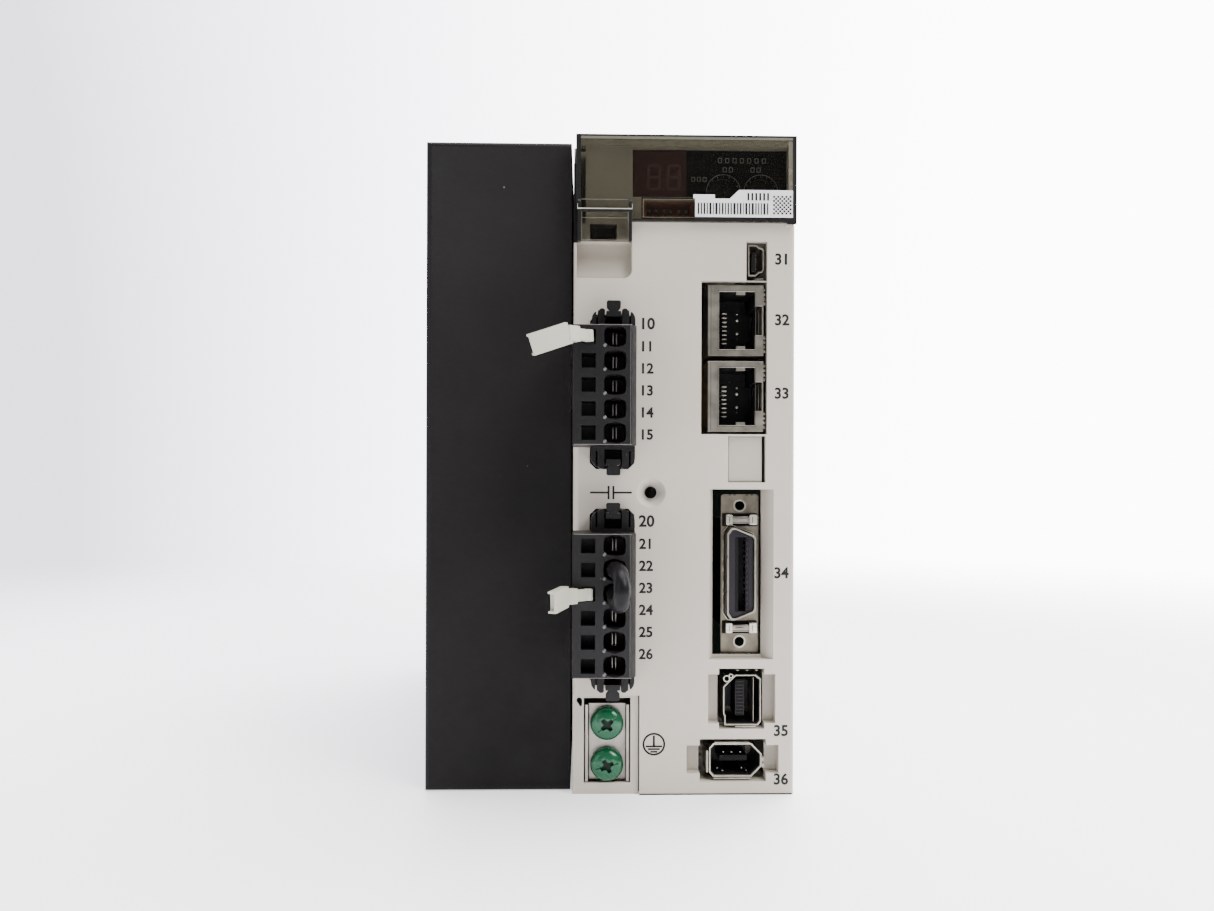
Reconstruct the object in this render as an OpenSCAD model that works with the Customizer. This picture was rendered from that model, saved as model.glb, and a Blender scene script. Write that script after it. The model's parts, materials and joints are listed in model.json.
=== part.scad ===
// Panel-mounted servo drive. The origin is the middle of the flat bottom,
// +X is to the right seen from the front, the front faces -Y and +Z is up.

/* [Body] */
// Width over the sheet-metal cover and the plastic case
body_w = 85; // [85:0.5:88]
// Height of the case
body_h = 150; // [150:0.5:152]
// Depth from the plastic front to the rear frame
body_d = 170; // [168:1:180]
// Sheet-metal thickness of the black cover
sheet = 1; // [0.8:0.1:1.2]
// Wall of the plastic case and of the front panel
wall = 1.8; // [1.6:0.1:2]
// How far the black front lies behind the plastic front
cover_setback = 3.5; // [3:0.1:4]
// Outer radius of the black cover's bends
bend_r = 1.3; // [1:0.1:1.4]

/* [Rear frame] */
// Thickness of the rear frame's back wall
frame_t = 3; // [3:0.5:4]
// Tapped hole of an M4 bracket screw, as a radius
m4_tap_r = 1.65; // [1.6:0.05:1.7]
// Distance between the two bracket holes of an edge
bracket_pitch = 60; // [50:1:64]

/* [Pluggable terminals] */
// Pitch of the wire holes
pole_pitch = 5.08; // [5:0.04:5.08]
// How far the plugs stand out of the front
plug_proud = 17; // [16:0.5:18]
// Middle of the mains plug's height
mains_z = 91.95; // [91.5:0.05:92.4]
// Middle of the motor plug's height
motor_z = 45.2; // [44.8:0.1:45.6]

/* [Fan] */
// Side of the square fan
fan_size = 40; // [40:1:40]
// Blades of the rotor
fan_blades = 7; // [5:1:9]

/* [Hidden] */
$fn = 48;
e = 0.01;

left_x = -body_w / 2;
right_x = body_w / 2;
front = -body_d / 2;
rear = body_d / 2;
split_x = -8.4;                 // left edge of the plastic
panel_right = right_x - 0.2;
skirt = 12;                     // depth of the front panel's rim
flange_reach = 16;              // how far the rear frame's flanges reach forward

// Display cover and the bay that it closes
cover_axis = [front + 5.5, body_h - 1.7];
barrel_r = 1.4;
pin_r = 0.9;
bay_x = [-5.7, panel_right - 1.6];
bay_low = 130.3;
cover_plate = [front - 1.5, front - 0.3];
film_x = [5.1, 40.2];           // printed film over the digits and the dials
film_z = [136.6, 147.2];
film_low = [22, 133.2];         // its right part reaches lower, behind the label
monitor_window = [[7.4, 20.4], [131.9, 135.9]];
dial_x = [25.8, 34.4];
dial_z = 137.9;
dial_r = 2.9;

// Ports, each as its span in X and its span in Z
usb_port = [[31.1, 35.9], [117.5, 126.5]];
net_port = [[20.8, 35.9], [82.4, 117.4]];
blank_port = [[27, 35.6], [71.4, 82]];
io_port = [[23.7, 35.1], [31.6, 69.8]];
io_rim = [[22.7, 37.5], [30.9, 69.8]];   // where the slopes of its rim start
scale_port = [[25.1, 35.5], [15, 28.8]];
encoder_port = [[20.7, 35.9], [3, 12.7]];
step_depth = 2.8;               // of the shallow steps beside the two lowest ports
earth_port = [[-5.8, 4.9], [2.6, 22]];
lamp_at = [9.4, 69];
lamp_r = 1.4;

// Network sockets
net_shell_x = [22.4, 35.2];
net_low_z = [83, 100.4];
net_h = 16.2;
net_mouth = [8.2, 13.2];
net_wall = 0.4;

// Plugs and their parts
plug_x = [-8.4, 5.2];
neck_x = [-4.3, 5.3];
hole_x = 0.6;
slot_x = -5;
wire_hole = [4.6, 4];
lever_slot = [3, 3.1];
plug_face = front - plug_proud;
neck_out = 8;                   // how far the narrow body stands out of the front
end_margin = 4.9;               // from the end of the block to the end of the narrow body
latch_x = [-1.1, 2.1];
latch_pin_r = 0.6;
latch_mid = 0.5;
latch_pad = [[-0.7, -1.5], [0.7, -1.5], [0.9, -0.7], [1.5, 0], [1.55, 1.2], [1.3, 1.5],
             [-1.3, 1.5], [-1.55, 1.2], [-1.5, 0], [-0.9, -0.7]];
latch_pivot_in = 0.2;           // the pivot lies this far behind the front
running = 0.05;

// Levers, as [row from the top, swing of the arm out of the front, its tilt in that plane, swing
// of the handle out of the front, its droop]; the two are pushed in a quarter turn apart
mains_lever_pose = [0, 48, -3, 16, -20];
motor_lever_pose = [2, 42, 0, 74, -2];
handle_l = 8.2;
handle_t = 1.8;
lever_axis_out = 0.6;

// Jumper wire: forward of the plug's face, to the right and above the middle of its two holes
jumper_r = 1.8;
jumper_route = [[-4.6, 0, 2.54], [-2, 0, 2.54], [0.5, 0, 2.6], [3.2, 0.1, 2.8], [6, 0.4, 2.9],
                [8.6, 0.8, 2.4], [10.4, 1.1, 1], [11.1, 1.2, -0.7], [10.6, 1.1, -2.3],
                [8.9, 0.8, -3.6], [6.3, 0.4, -3.8], [3.4, 0.1, -3.2], [0.5, 0, -2.7],
                [-2, 0, -2.54], [-4.6, 0, -2.54]];
jumper_rows = [1, 2];

// Fan, standing over the fins
fan_at = [-20.6, 40];
fan_z = [body_h - 21.6, body_h - 1.6];
fan_hole = fan_size / 2 - 4;
fan_zone = [1.2, 12];           // the cover's top reaches this far right behind this Y

// Boards
power_x = [-7.4, -5.8];
control_x = [36.9, 38.5];
sink_base = [-16, -12];
sink_y = [-57, 66];
fin_pitch = 5.5;
fin_t = 1.8;

function flipped(points) = [for (i = [len(points) - 1 : -1 : 0]) points[i]];
function deep(a, b) = [front + a, front + b];
function z_span(mid, half) = [mid - half, mid + half];
function block_half(poles) = poles * pole_pitch / 2;
function neck_half(poles) = block_half(poles) + end_margin;
// An outline drawn in towards a middle point
function inner(points, mid, by) = [for (p = points) [mid[0] + (p[0] - mid[0]) * by[0],
                                                     mid[1] + (p[1] - mid[1]) * by[1]]];
function row_z(poles, mid, row) = mid + (poles - 1) / 2 * pole_pitch - row * pole_pitch;

module span(x, y, z) {
    translate([x[0], y[0], z[0]]) cube([x[1] - x[0], y[1] - y[0], z[1] - z[0]]);
}

// A cylinder along X, Y or Z from one point to the next
module rod_x(x, y, z, r) {
    translate([x[0], y, z]) rotate([0, 90, 0]) cylinder(h = x[1] - x[0], r = r);
}

module rod_y(x, y, z, r) {
    translate([x, y[0], z]) rotate([-90, 0, 0]) cylinder(h = y[1] - y[0], r = r);
}

module rod_z(x, y, z, r) {
    translate([x, y, z[0]]) cylinder(h = z[1] - z[0], r = r);
}

// An outline in X and Z, extruded along Y
module slab(y, points) {
    translate([0, y[1], 0]) rotate([90, 0, 0]) linear_extrude(y[1] - y[0]) polygon(points);
}

function chamfered(x, z, c) = [[x[0] + c, z[0]], [x[1] - c, z[0]], [x[1], z[0] + c],
                               [x[1], z[1] - c], [x[1] - c, z[1]], [x[0] + c, z[1]],
                               [x[0], z[1] - c], [x[0], z[0] + c]];

// A rectangle whose corners are quarter circles
function rounded(x, z, r) = [for (c = [[x[1] - r, z[0] + r, -90], [x[1] - r, z[1] - r, 0],
                                       [x[0] + r, z[1] - r, 90], [x[0] + r, z[0] + r, 180]],
                                  a = [0 : 22.5 : 90])
                             [c[0] + r * cos(c[2] + a), c[1] + r * sin(c[2] + a)]];

// A box whose four edges along Y are round
module round_slab(x, y, z, r) {
    span([x[0] + r, x[1] - r], y, z);
    span(x, y, [z[0] + r, z[1] - r]);
    for (cx = [x[0] + r, x[1] - r], cz = [z[0] + r, z[1] - r]) rod_y(cx, y, cz, r);
}

// What rounding an outer edge takes away: the edge at (u, v) of a body that lies towards
// (u + su, v + sv), with the radius r. u is X and v is Y for an edge along Z, and u is Z and v is
// Y for an edge along X.
module edge_z(u, v, su, sv, r) {
    difference() {
        span([u + min(su, 0) * r - e, u + max(su, 0) * r + e],
             [v + min(sv, 0) * r - e, v + max(sv, 0) * r + e], [-1, body_h + 1]);
        rod_z(u + su * r, v + sv * r, [-2, body_h + 2], r);
    }
}

module edge_x(u, v, su, sv, r) {
    difference() {
        span([left_x - 1, right_x + 1], [v + min(sv, 0) * r - e, v + max(sv, 0) * r + e],
             [u + min(su, 0) * r - e, u + max(su, 0) * r + e]);
        rod_x([left_x - 2, right_x + 2], v + sv * r, u + su * r, r);
    }
}

// A row of ventilation slots that repeat along Y
module vents_y(x, z, first, last, pitch, width) {
    for (y = [first : pitch : last]) span(x, [y, y + width], z);
}

// ---------------------------------------------------------------- frame and covers

module rear_frame() {
    screw_x = [left_x + 5, right_x - 5];
    color("silver") difference() {
        union() {
            span([left_x, right_x], [rear - frame_t, rear], [0, body_h]);
            for (z = [[0, 4], [body_h - 4, body_h]])
                span([left_x, right_x], [rear - flange_reach, rear - frame_t + e], z);
        }
        for (x = [-bracket_pitch / 2, bracket_pitch / 2])
            rod_z(x, rear - flange_reach / 2 - 1, [-1, body_h + 1], m4_tap_r);
        for (x = screw_x, z = [12, body_h - 12]) {
            rod_y(x, [rear - 2, rear + 1], z, 3.2);
            rod_y(x, [rear - frame_t - 1, rear], z, 1.6);
        }
    }
}

module side_cover() {
    low_y = front + cover_setback;
    top_y = [low_y, rear - flange_reach];
    edge = split_x - 0.5;
    color("#2b2b2d") difference() {
        union() {
            span([left_x, left_x + sheet], [low_y, rear - frame_t], [0, body_h]);
            span([left_x, edge], [low_y, low_y + sheet], [0, body_h]);
            span([left_x, edge], top_y, [0, sheet]);
            span([left_x, edge], top_y, [body_h - sheet, body_h]);
            span([left_x, fan_zone[0]], [fan_zone[1], top_y[1]], [body_h - sheet, body_h]);
            for (z = [7, body_h - 17])
                span([left_x + sheet - e, left_x + 8], [rear - 13, rear - frame_t], [z, z + 10]);
        }
        span([left_x - 1, left_x + sheet], [rear - flange_reach, rear], [-1, 4]);
        span([left_x - 1, left_x + sheet], [rear - flange_reach, rear], [body_h - 4, body_h + 1]);
        fan_grille();
        edge_z(left_x, low_y, 1, 1, bend_r);
        edge_x(0, low_y, 1, 1, bend_r);
        edge_x(body_h, low_y, -1, 1, bend_r);
        for (x = [-1, 1], y = [-1, 1])
            rod_z(fan_at[0] + x * fan_hole, fan_at[1] + y * fan_hole,
                  [body_h - 2, body_h + 1], 1.6);
        vents_y([-38, -13], [-1, 2], -66, 56, 6, 2.4);
        for (z = [22, 104]) vents_y([left_x - 1, left_x + 2], [z, z + 24], -66, 60, 7, 2.4);
        for (z = [12, body_h - 12])
            rod_y(left_x + 5, [rear - 14, rear], z, 1.5);
    }
}

// Ring-shaped slots over the fan, kept together by four spokes
module fan_grille() {
    for (r = [6, 10.2, 14.4])
        difference() {
            rod_z(fan_at[0], fan_at[1], [body_h - 2, body_h + 1], r + 2.8);
            rod_z(fan_at[0], fan_at[1], [body_h - 3, body_h + 2], r);
            for (a = [45, 135])
                translate([fan_at[0], fan_at[1], body_h]) rotate([0, 0, a])
                    cube([60, 2.2, 8], center = true);
        }
}

module case_shell() {
    y = [front + skirt, rear - flange_reach];
    color("#c6c2bc") difference() {
        union() {
            span([right_x - wall, right_x], [y[0], rear - frame_t], [0, body_h]);
            span([split_x, right_x], y, [0, wall]);
            span([split_x, right_x], y, [body_h - wall, body_h]);
            for (z = [7, body_h - 17])
                span([right_x - 8, right_x - wall + e], [rear - 13, rear - frame_t], [z, z + 10]);
            for (by = [-50, 40], z = [16, 118])
                rod_x([control_x[1], right_x - wall + e], by, z, 3.2);
        }
        span([right_x - wall - 1, right_x + 1], [rear - flange_reach, rear], [-1, 4]);
        span([right_x - wall - 1, right_x + 1], [rear - flange_reach, rear],
             [body_h - 4, body_h + 1]);
        span([split_x - 1, fan_zone[0]], [fan_zone[1], rear], [body_h - 3, body_h + 1]);
        vents_y([12, 36], [-1, 3], -62, 58, 6, 2.4);
        vents_y([12, 36], [body_h - 3, body_h + 1], -62, 58, 6, 2.4);
        for (z = [10, 72, 100]) vents_y([right_x - 3, right_x + 1], [z, z + 24], -60, 58, 7, 2.4);
        for (z = [12, body_h - 12])
            rod_y(right_x - 5, [rear - 14, rear], z, 1.5);
        for (by = [-50, 40], z = [16, 118])
            rod_x([control_x[1] - 1, right_x - 0.8], by, z, 1.2);
    }
}

// ---------------------------------------------------------------- front panel

module front_panel() {
    color("#c6c2bc") difference() {
        union() {
            panel_walls();
            display_bay();
            // thicker wall behind the finger scoop
            span([split_x, 6.4], deep(0, 4.8), [116.5, 127.8]);
            // and around the slopes and the steps of the three lowest ports
            span([21.7, 38.6], deep(0, 3.4), [30.1, 70.6]);
            span([16.4, 40.4], deep(0, step_depth + 1), [1, 30.4]);
        }
        panel_openings();
    }
}

module panel_walls() {
    side = 0.8;
    span([split_x, panel_right], deep(0, wall), [0, bay_low]);
    span([split_x, panel_right], deep(0, skirt), [0, wall]);
    span([split_x, split_x + side], deep(0, skirt), [0, 144]);
    span([panel_right - 1.6, panel_right], deep(0, skirt), [0, bay_low]);
}

// The block behind the display cover, with the step that its hinge barrel lies in
module display_bay() {
    step = [front + 3.6, front + 7.8];
    ear_r = 1.6;
    span([split_x, panel_right], [front, step[1]], [bay_low - 1.5, bay_low]);
    span(bay_x, deep(0, wall), [bay_low - e, body_h - 1.9]);
    for (x = [[bay_x[0], bay_x[0] + 1.2], [bay_x[1] - 0.8, bay_x[1]]])
        span(x, [front, step[1]], [bay_low - e, body_h - 4.9]);
    span(bay_x, [front, step[0]], [body_h - 3, body_h - 1.9]);
    span(bay_x, [step[0] - 1.2, step[0]], [body_h - 4.9, body_h - 1.9]);
    span(bay_x, [step[0] - 1.2, step[1] + e], [body_h - 4.9, body_h - 3.4]);
    span([split_x, bay_x[0] + 1.2], [step[1], step[1] + 1.5], [bay_low - 1.5, body_h]);
    span([bay_x[1] - 0.8, panel_right], [step[1], step[1] + 1.5], [bay_low - 1.5, body_h]);
    span([split_x, panel_right], [step[1], step[1] + 1.5], [body_h - 4.9, body_h]);
    span([split_x, panel_right], [step[1], front + skirt], [body_h - 1.6, body_h]);
    for (x = [[split_x, split_x + 1.6], [panel_right - 1.6, panel_right]])
        span(x, [step[1], front + skirt], [bay_low - 1.5, body_h]);
    for (x = [[bay_x[0], bay_x[0] + 1.8], [bay_x[1] - 1.8, bay_x[1]]])
        difference() {
            union() {
                rod_x(x, cover_axis[0], cover_axis[1], ear_r);
                span(x, [cover_axis[0] - ear_r, step[1]], [body_h - 3.5, cover_axis[1]]);
            }
            rod_x([x[0] - 1, x[1] + 1], cover_axis[0], cover_axis[1], pin_r + running);
        }
}

module panel_openings() {
    scoop_r = 1.8;
    out = [front - 1, front + 4.6];
    // seat of the display film, its windows, the monitor window and the slot of the cover's hook
    slab(deep(-1, 0.7), film_outline(0.1));
    slab(out, film_outline(-0.8));
    span(monitor_window[0], out, monitor_window[1]);
    span([-4.7, 1.4], deep(-1, 6), [126.4, 130.2]);
    // finger scoop, sloping in towards its top
    intersection() {
        translate([split_x + 0.7, 0, 0]) rotate([90, 0, 90]) linear_extrude(12.6)
            polygon([[front - 1, 118], [front + 1, 118], [front + 3.2, 123.6],
                     [front + 3.2, 126.2], [front - 1, 126.2]]);
        union() {
            span([split_x, 4.9 - scoop_r], deep(-2, 5), [118, 127]);
            span([split_x, 4.9], deep(-2, 5), [118 + scoop_r, 127]);
            rod_y(4.9 - scoop_r, deep(-2, 5), 118 + scoop_r, scoop_r);
        }
    }
    // plugs
    for (p = [[5, mains_z], [6, motor_z]])
        slab(out, chamfered([neck_x[0] - 0.3, neck_x[1] + 0.3],
                            z_span(p[1], neck_half(p[0])), 1.4));
    // charge lamp in its crater
    translate([lamp_at[0], front - e, lamp_at[1]]) rotate([-90, 0, 0])
        cylinder(h = 1.6, r1 = 3.4, r2 = lamp_r + 0.2);
    rod_y(lamp_at[0], out, lamp_at[1], lamp_r);
    // earth terminal, in a corner that lies a little deeper
    span([split_x - 1, 6.9], deep(-1, 0.9), [-1, 22.7]);
    span(earth_port[0], deep(-1, 3), earth_port[1]);
    for (at = [[-6.85, 21.45, 0.65], [-6.55, 20.45, 0.35]]) rod_y(at[0], out, at[1], at[2]);
    slab(out, [[-7.48, 21.3], [-6.89, 20.4], [-6.2, 20.45], [-6.2, 21.45]]);
    // ports, some with a shallow step beside them
    for (p = [usb_port, net_port, blank_port, io_port, scale_port, encoder_port])
        span(p[0], out, p[1]);
    translate([0, 0, io_rim[1][0]]) linear_extrude(io_rim[1][1] - io_rim[1][0])
        polygon([[io_rim[0][0], front - 1], [io_rim[0][1], front - 1], [io_rim[0][1], front],
                 [io_port[0][1], front + 2.6], [io_port[0][0], front + 1.8],
                 [io_rim[0][0], front]]);
    span([22.6, 38], deep(-1, step_depth), [16.3, 27.5]);
    span([17.7, 38.8], deep(-1, step_depth), [4.9, 11.3]);
    // rounded rim: wide at the left, narrow at the right and at the foot
    edge_z(split_x, front, 1, 1, 1.5);
    edge_z(panel_right, front, -1, 1, 0.9);
    edge_x(0, front, 1, 1, 0.5);
}

// ---------------------------------------------------------------- display

module display_cover() {
    side = 1.2;
    x = [-7.3, panel_right];
    low = 131;
    tab_x = [-7.3, 4.8];
    tab_proud = 0.7;
    color("#64605266") {
        difference() {
            union() {
                span(x, cover_plate, [low, body_h + 0.2]);
                for (s = [[x[0], x[0] + side], [x[1] - side, x[1]]])
                    span(s, [cover_plate[0], cover_axis[0] + barrel_r], [low, body_h - 0.3]);
                span([x[0] + e, x[1] - e], [cover_plate[0] + e, cover_axis[0]],
                     [body_h - 1.5, body_h - 0.3]);
                rod_x([x[0] + e, x[1] - e], cover_axis[0], cover_axis[1], barrel_r);
            }
            // room for the two ears of the bay
            for (s = [[bay_x[0] - 0.4, bay_x[0] + 2.2], [bay_x[1] - 2.2, bay_x[1] + 0.4]])
                span(s, [cover_axis[0] - 3, cover_axis[0] + 3],
                     [cover_axis[1] - 3, cover_axis[1] + 3]);
        }
        for (s = [[bay_x[0] - 0.4 - e, bay_x[0] + 1.7], [bay_x[1] - 1.7, bay_x[1] + 0.4 + e]])
            rod_x(s, cover_axis[0], cover_axis[1], pin_r);
        // pull tab, a little proud of the plate, with the hook behind it
        span(tab_x, [cover_plate[0] - tab_proud, cover_plate[1]], [125.9, low + e]);
        span(tab_x, [cover_plate[0] - tab_proud, cover_plate[0] + e], [low, 133.3]);
        span([-4.2, 0.9], [cover_plate[0] + e, front + 3], [127.4, 129.2]);
        span([-4.2, 0.9], [front + 2.2, front + 3], [126.8, 128]);
    }
}

module cover_label() {
    t = 0.2;
    color("white") slab([cover_plate[0] - t, cover_plate[0]],
        [[19.1, 131.6], [41.4, 131.6], [41.4, 137.8], [29.1, 137.8], [27, 135.8], [19.1, 135.8]]);
}

// Outline of the display film, grown by a margin
function film_outline(by) =
    [[film_x[0] - by, film_z[0] - by], [film_low[0] - by, film_z[0] - by],
     [film_low[0] - by, film_low[1] - by], [film_x[1] + by, film_low[1] - by],
     [film_x[1] + by, film_z[1] + by], [film_x[0] - by, film_z[1] + by]];

// Printed film in a seat in the panel's front, with a hole for each dial
module display_plate() {
    color("#121214") difference() {
        slab(deep(0.2, 0.7), film_outline(0));
        for (x = dial_x) rod_y(x, deep(0, 4), dial_z, dial_r + 0.2);
    }
}

module display_board() {
    color("#14301f") span([-3.9, bay_x[1] - 1], deep(8, 9.6), [bay_low, body_h - 5.1]);
}

module digit_module() {
    color("#1d1d20") span([7.6, 18.4], deep(3.2, 8), [137.8, body_h - 5.1]);
}

module status_lamps() {
    for (z = [139.8, 143]) color("#9fae7a") {
        rod_y(20.4, deep(4.4, 8), z, 0.9);
        translate([20.4, front + 4.4, z]) sphere(r = 0.9);
    }
}

module rotary_bodies() {
    for (x = dial_x) color("#1a1a1c") difference() {
        span([x - 3.5, x + 3.5], deep(4, 8), [dial_z - 3.5, dial_z + 3.5]);
        rod_y(x, deep(3, 6), dial_z, dial_r - 0.6 + running);
    }
}

// Dial of a rotary switch, with a screwdriver slot that ends in an arrow
module rotary_dial(x) {
    color("#d8d6cf") difference() {
        union() {
            rod_y(x, deep(0.9, 3.7), dial_z, dial_r);
            rod_y(x, deep(3.6, 5.6), dial_z, dial_r - 0.6);
        }
        span([x - 0.4, x + 0.4], deep(0.5, 1.5), [dial_z - 2, dial_z + 2.4]);
        slab(deep(0.5, 1.5), [[x - 1.2, dial_z + 1], [x + 1.2, dial_z + 1], [x, dial_z + 2.6]]);
    }
}

module rotary_dial_1() { rotary_dial(dial_x[0]); }
module rotary_dial_2() { rotary_dial(dial_x[1]); }

module monitor_socket() {
    color("#6b3a2a") difference() {
        span([7.5, 19.3], deep(2.6, 8), [132.2, 136.4]);
        span([8.2, 18.6], deep(2, 7), [132.9, 135.7]);
    }
}

module monitor_pins() {
    color("gold") for (i = [0 : 5])
        span([8.9 + i * 1.7, 9.4 + i * 1.7], deep(3.6, 7), [134.05, 134.55]);
}

// ---------------------------------------------------------------- ports

// Mouth of the small five-way socket; its right side is shorter than its left
usb_outline = [[31.6, 118.7], [33.4, 118.7], [34, 119.4], [34.9, 119.6], [35.3, 120.1],
               [35.3, 124.7], [34.9, 125.2], [34, 125.4], [33.4, 126], [31.6, 126]];

module usb_shell() {
    color("silver") difference() {
        slab(deep(0.8, 9.8), usb_outline);
        slab(deep(0, 9), inner(usb_outline, [33.4, 122.35], [0.83, 0.9]));
    }
}

module usb_insert() {
    color("#1a1a1c") span([32.6, 33.6], deep(2.2, 9), [119.9, 124.5]);
}

// Mouth of a network socket: a rectangle with the notch of the latch to its right
module net_mouth_cut(z, y) {
    mid = z + net_h / 2;
    span([25, 25 + net_mouth[0]], y, z_span(mid, net_mouth[1] / 2));
    span([25, 34.8], y, z_span(mid, 3.3));
}

module network_shells() {
    color("silver") for (z = net_low_z) difference() {
        span(net_shell_x, deep(0.6, 18.6), [z, z + net_h]);
        span([net_shell_x[0] + net_wall, net_shell_x[1] - net_wall], deep(1, 19),
             [z + net_wall, z + net_h - net_wall]);
        net_mouth_cut(z, deep(0, 2));
    }
}

module network_inserts() {
    color("#232325") for (z = net_low_z) difference() {
        span([net_shell_x[0] + net_wall, net_shell_x[1] - net_wall], deep(1, 18.6),
             [z + net_wall, z + net_h - net_wall]);
        net_mouth_cut(z, deep(0, 14.5));
    }
}

module network_contacts() {
    pitch = 1.02;
    color("gold") for (z = net_low_z, i = [0 : 7]) {
        mid = z + net_h / 2 - 0.5 + (i - 3.5) * pitch;
        span([26.8, 28], deep(9.4, 14.5), [mid - 0.18, mid + 0.18]);
    }
}

module blank_plate() {
    color("#b9b5ae") {
        span([27.2, 34.9], deep(0.8, 1.8), [71.6, 81.8]);
        for (z = [73.4, 79.6]) span([29.5, 32.5], deep(1.7, 4), [z, z + 1.2]);
    }
}

io_plate_x = [26, 34.9];
io_plate_z = [31.2, 68.7];
io_screw_z = [34.3, 66];
io_plate_y = deep(4.6, 5.6);
io_shell_x = [27, 33.6];
io_shell_z = [39.8, 60.9];
io_slot_x = [29.1, 32];
io_mid = [30.3, (io_shell_z[0] + io_shell_z[1]) / 2];

// Outline of the 26-way socket's shell: the right side is shorter than the left
io_outline = [[io_shell_x[0], io_shell_z[0] + 1.3], [io_shell_x[0] + 0.9, io_shell_z[0]],
              [io_shell_x[0] + 1.8, io_shell_z[0]], [io_shell_x[1] - 0.4, io_shell_z[0] + 1.7],
              [io_shell_x[1], io_shell_z[0] + 2.3], [io_shell_x[1], io_shell_z[1] - 2.3],
              [io_shell_x[1] - 0.4, io_shell_z[1] - 1.7], [io_shell_x[0] + 1.8, io_shell_z[1]],
              [io_shell_x[0] + 0.9, io_shell_z[1]], [io_shell_x[0], io_shell_z[1] - 1.3]];
io_mouth = inner(io_outline, io_mid, [0.88, 0.963]);

module io_flange() {
    color("silver") difference() {
        round_slab(io_plate_x, io_plate_y, io_plate_z, 0.8);
        slab(deep(4, 6), io_outline);
        for (z = io_screw_z) rod_y(30.4, deep(4, 6), z, 1.1);
    }
}

module io_shell() {
    color("silver") difference() {
        slab(deep(0.6, 5.6), io_outline);
        slab(deep(0, 6), io_mouth);
    }
}

module io_insert() {
    color("#2f3a48") difference() {
        union() {
            slab(deep(1.4, 5.6), io_mouth);
            span([26, control_x[0]], deep(5.6, 19), [38, 63]);
        }
        span(io_slot_x, deep(0, 8), [io_shell_z[0] + 1.9, io_shell_z[1] - 2.1]);
    }
}

module io_contacts() {
    pitch = 1.27;
    color("gold") for (i = [0 : 12], x = [io_slot_x[0], io_slot_x[1] - 0.3])
        span([x, x + 0.3], deep(2.4, 8), z_span(io_mid[1] + (i - 6) * pitch, 0.25));
}

module io_latches() {
    color("silver") for (z = [[36.3, 39], [61.4, 64.1]]) {
        span([26.6, 34.6], deep(1.4, 2), z);
        span([29.4, 31.8], deep(1.9, 4.6), [(z[0] + z[1]) / 2 - 0.3, (z[0] + z[1]) / 2 + 0.3]);
    }
}

module open_shell(outline, mid, by) {
    difference() {
        slab(deep(0.9, 14), outline);
        slab(deep(0, 13), inner(outline, mid, by));
    }
}

module scale_shell() {
    outline = [[26.5, 15.7], [34.1, 15.7], [34.8, 16.5], [34.8, 26.3], [33.6, 27.2], [29, 27.2],
               [26.2, 24.5], [26.2, 18.2], [26.5, 17.8]];
    color("silver") open_shell(outline, [30.6, 21.5], [0.94, 0.955]);
}

module scale_insert() {
    color("#232325") {
        span([29.1, 31.2], deep(2.4, 13), [17.6, 25.9]);
        span([26.8, 34.2], deep(9, 13), [18.2, 24.5]);
    }
}

module encoder_shell() {
    outline = [[23.9, 3.9], [32.7, 3.9], [35, 6.3], [35, 9.1], [32.7, 11.5], [23.9, 11.5],
               [23, 10.5], [23, 4.9]];
    color("silver") open_shell(outline, [28.8, 7.7], [0.95, 0.91]);
}

module encoder_insert() {
    color("#232325") {
        span([25.5, 31.9], deep(2.4, 13), [7.2, 8.4]);
        span([23.6, 32.6], deep(9, 13), [5.1, 10.4]);
    }
}

module charge_lamp() {
    color("#8a8470") {
        rod_y(lamp_at[0], deep(1.6, 12), lamp_at[1], lamp_r - 0.05);
        translate([lamp_at[0], front + 1.6, lamp_at[1]]) sphere(r = lamp_r - 0.05);
    }
}

// ---------------------------------------------------------------- earth terminal

earth_plate_y = deep(3.1, 4.5);
earth_screw_x = -0.5;
earth_screw_z = [6.6, 16];
earth_face = front - 0.4;       // front of the screws' heads

module earth_plate() {
    color("silver") difference() {
        union() {
            span([-5.5, 4.6], earth_plate_y, [2.7, 20.4]);
            for (x = [[-5.5, -4.8], [3.9, 4.6]]) span(x, deep(1.4, 4.5), [2.7, 20.4]);
            span([-5.5, -4.8], deep(4.4, 24), [6, 18]);
        }
        for (z = earth_screw_z) rod_y(earth_screw_x, deep(2, 6), z, m4_tap_r);
    }
}

module earth_screws() {
    head_r = 3.8;
    cross = 0.9;
    color("#23704b") for (z = earth_screw_z) difference() {
        union() {
            // pan head: a low dome cut from a ball
            intersection() {
                rod_y(earth_screw_x, [earth_face, front + 3.1], z, head_r);
                translate([earth_screw_x, earth_face + 9, z]) sphere(r = 9, $fn = 96);
            }
            rod_y(earth_screw_x, deep(3, 11), z, m4_tap_r - running);
        }
        for (a = [0, 90]) translate([earth_screw_x, earth_face, z]) rotate([0, a + 25, 0])
            cube([3.8, 3.6, cross], center = true);
    }
}

// ---------------------------------------------------------------- plugs

module plug_headers() {
    color("#202022") for (p = [[5, mains_z], [6, motor_z]]) difference() {
        span([power_x[1], 6.6], deep(2.3, 22), z_span(p[1], neck_half(p[0]) + 0.6));
        span([-3.7, 4.7], deep(2, 15), z_span(p[1], block_half(p[0])));
        for (i = [0 : p[0] - 1])
            span([-0.1, 1.3], deep(14, 23), z_span(row_z(p[0], p[1], i), 0.6));
    }
}

module header_pins() {
    color("silver") for (p = [[5, mains_z], [6, motor_z]], i = [0 : p[0] - 1])
        span([-0.1, 1.3], deep(14, 25), z_span(row_z(p[0], p[1], i), 0.6));
}

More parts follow.
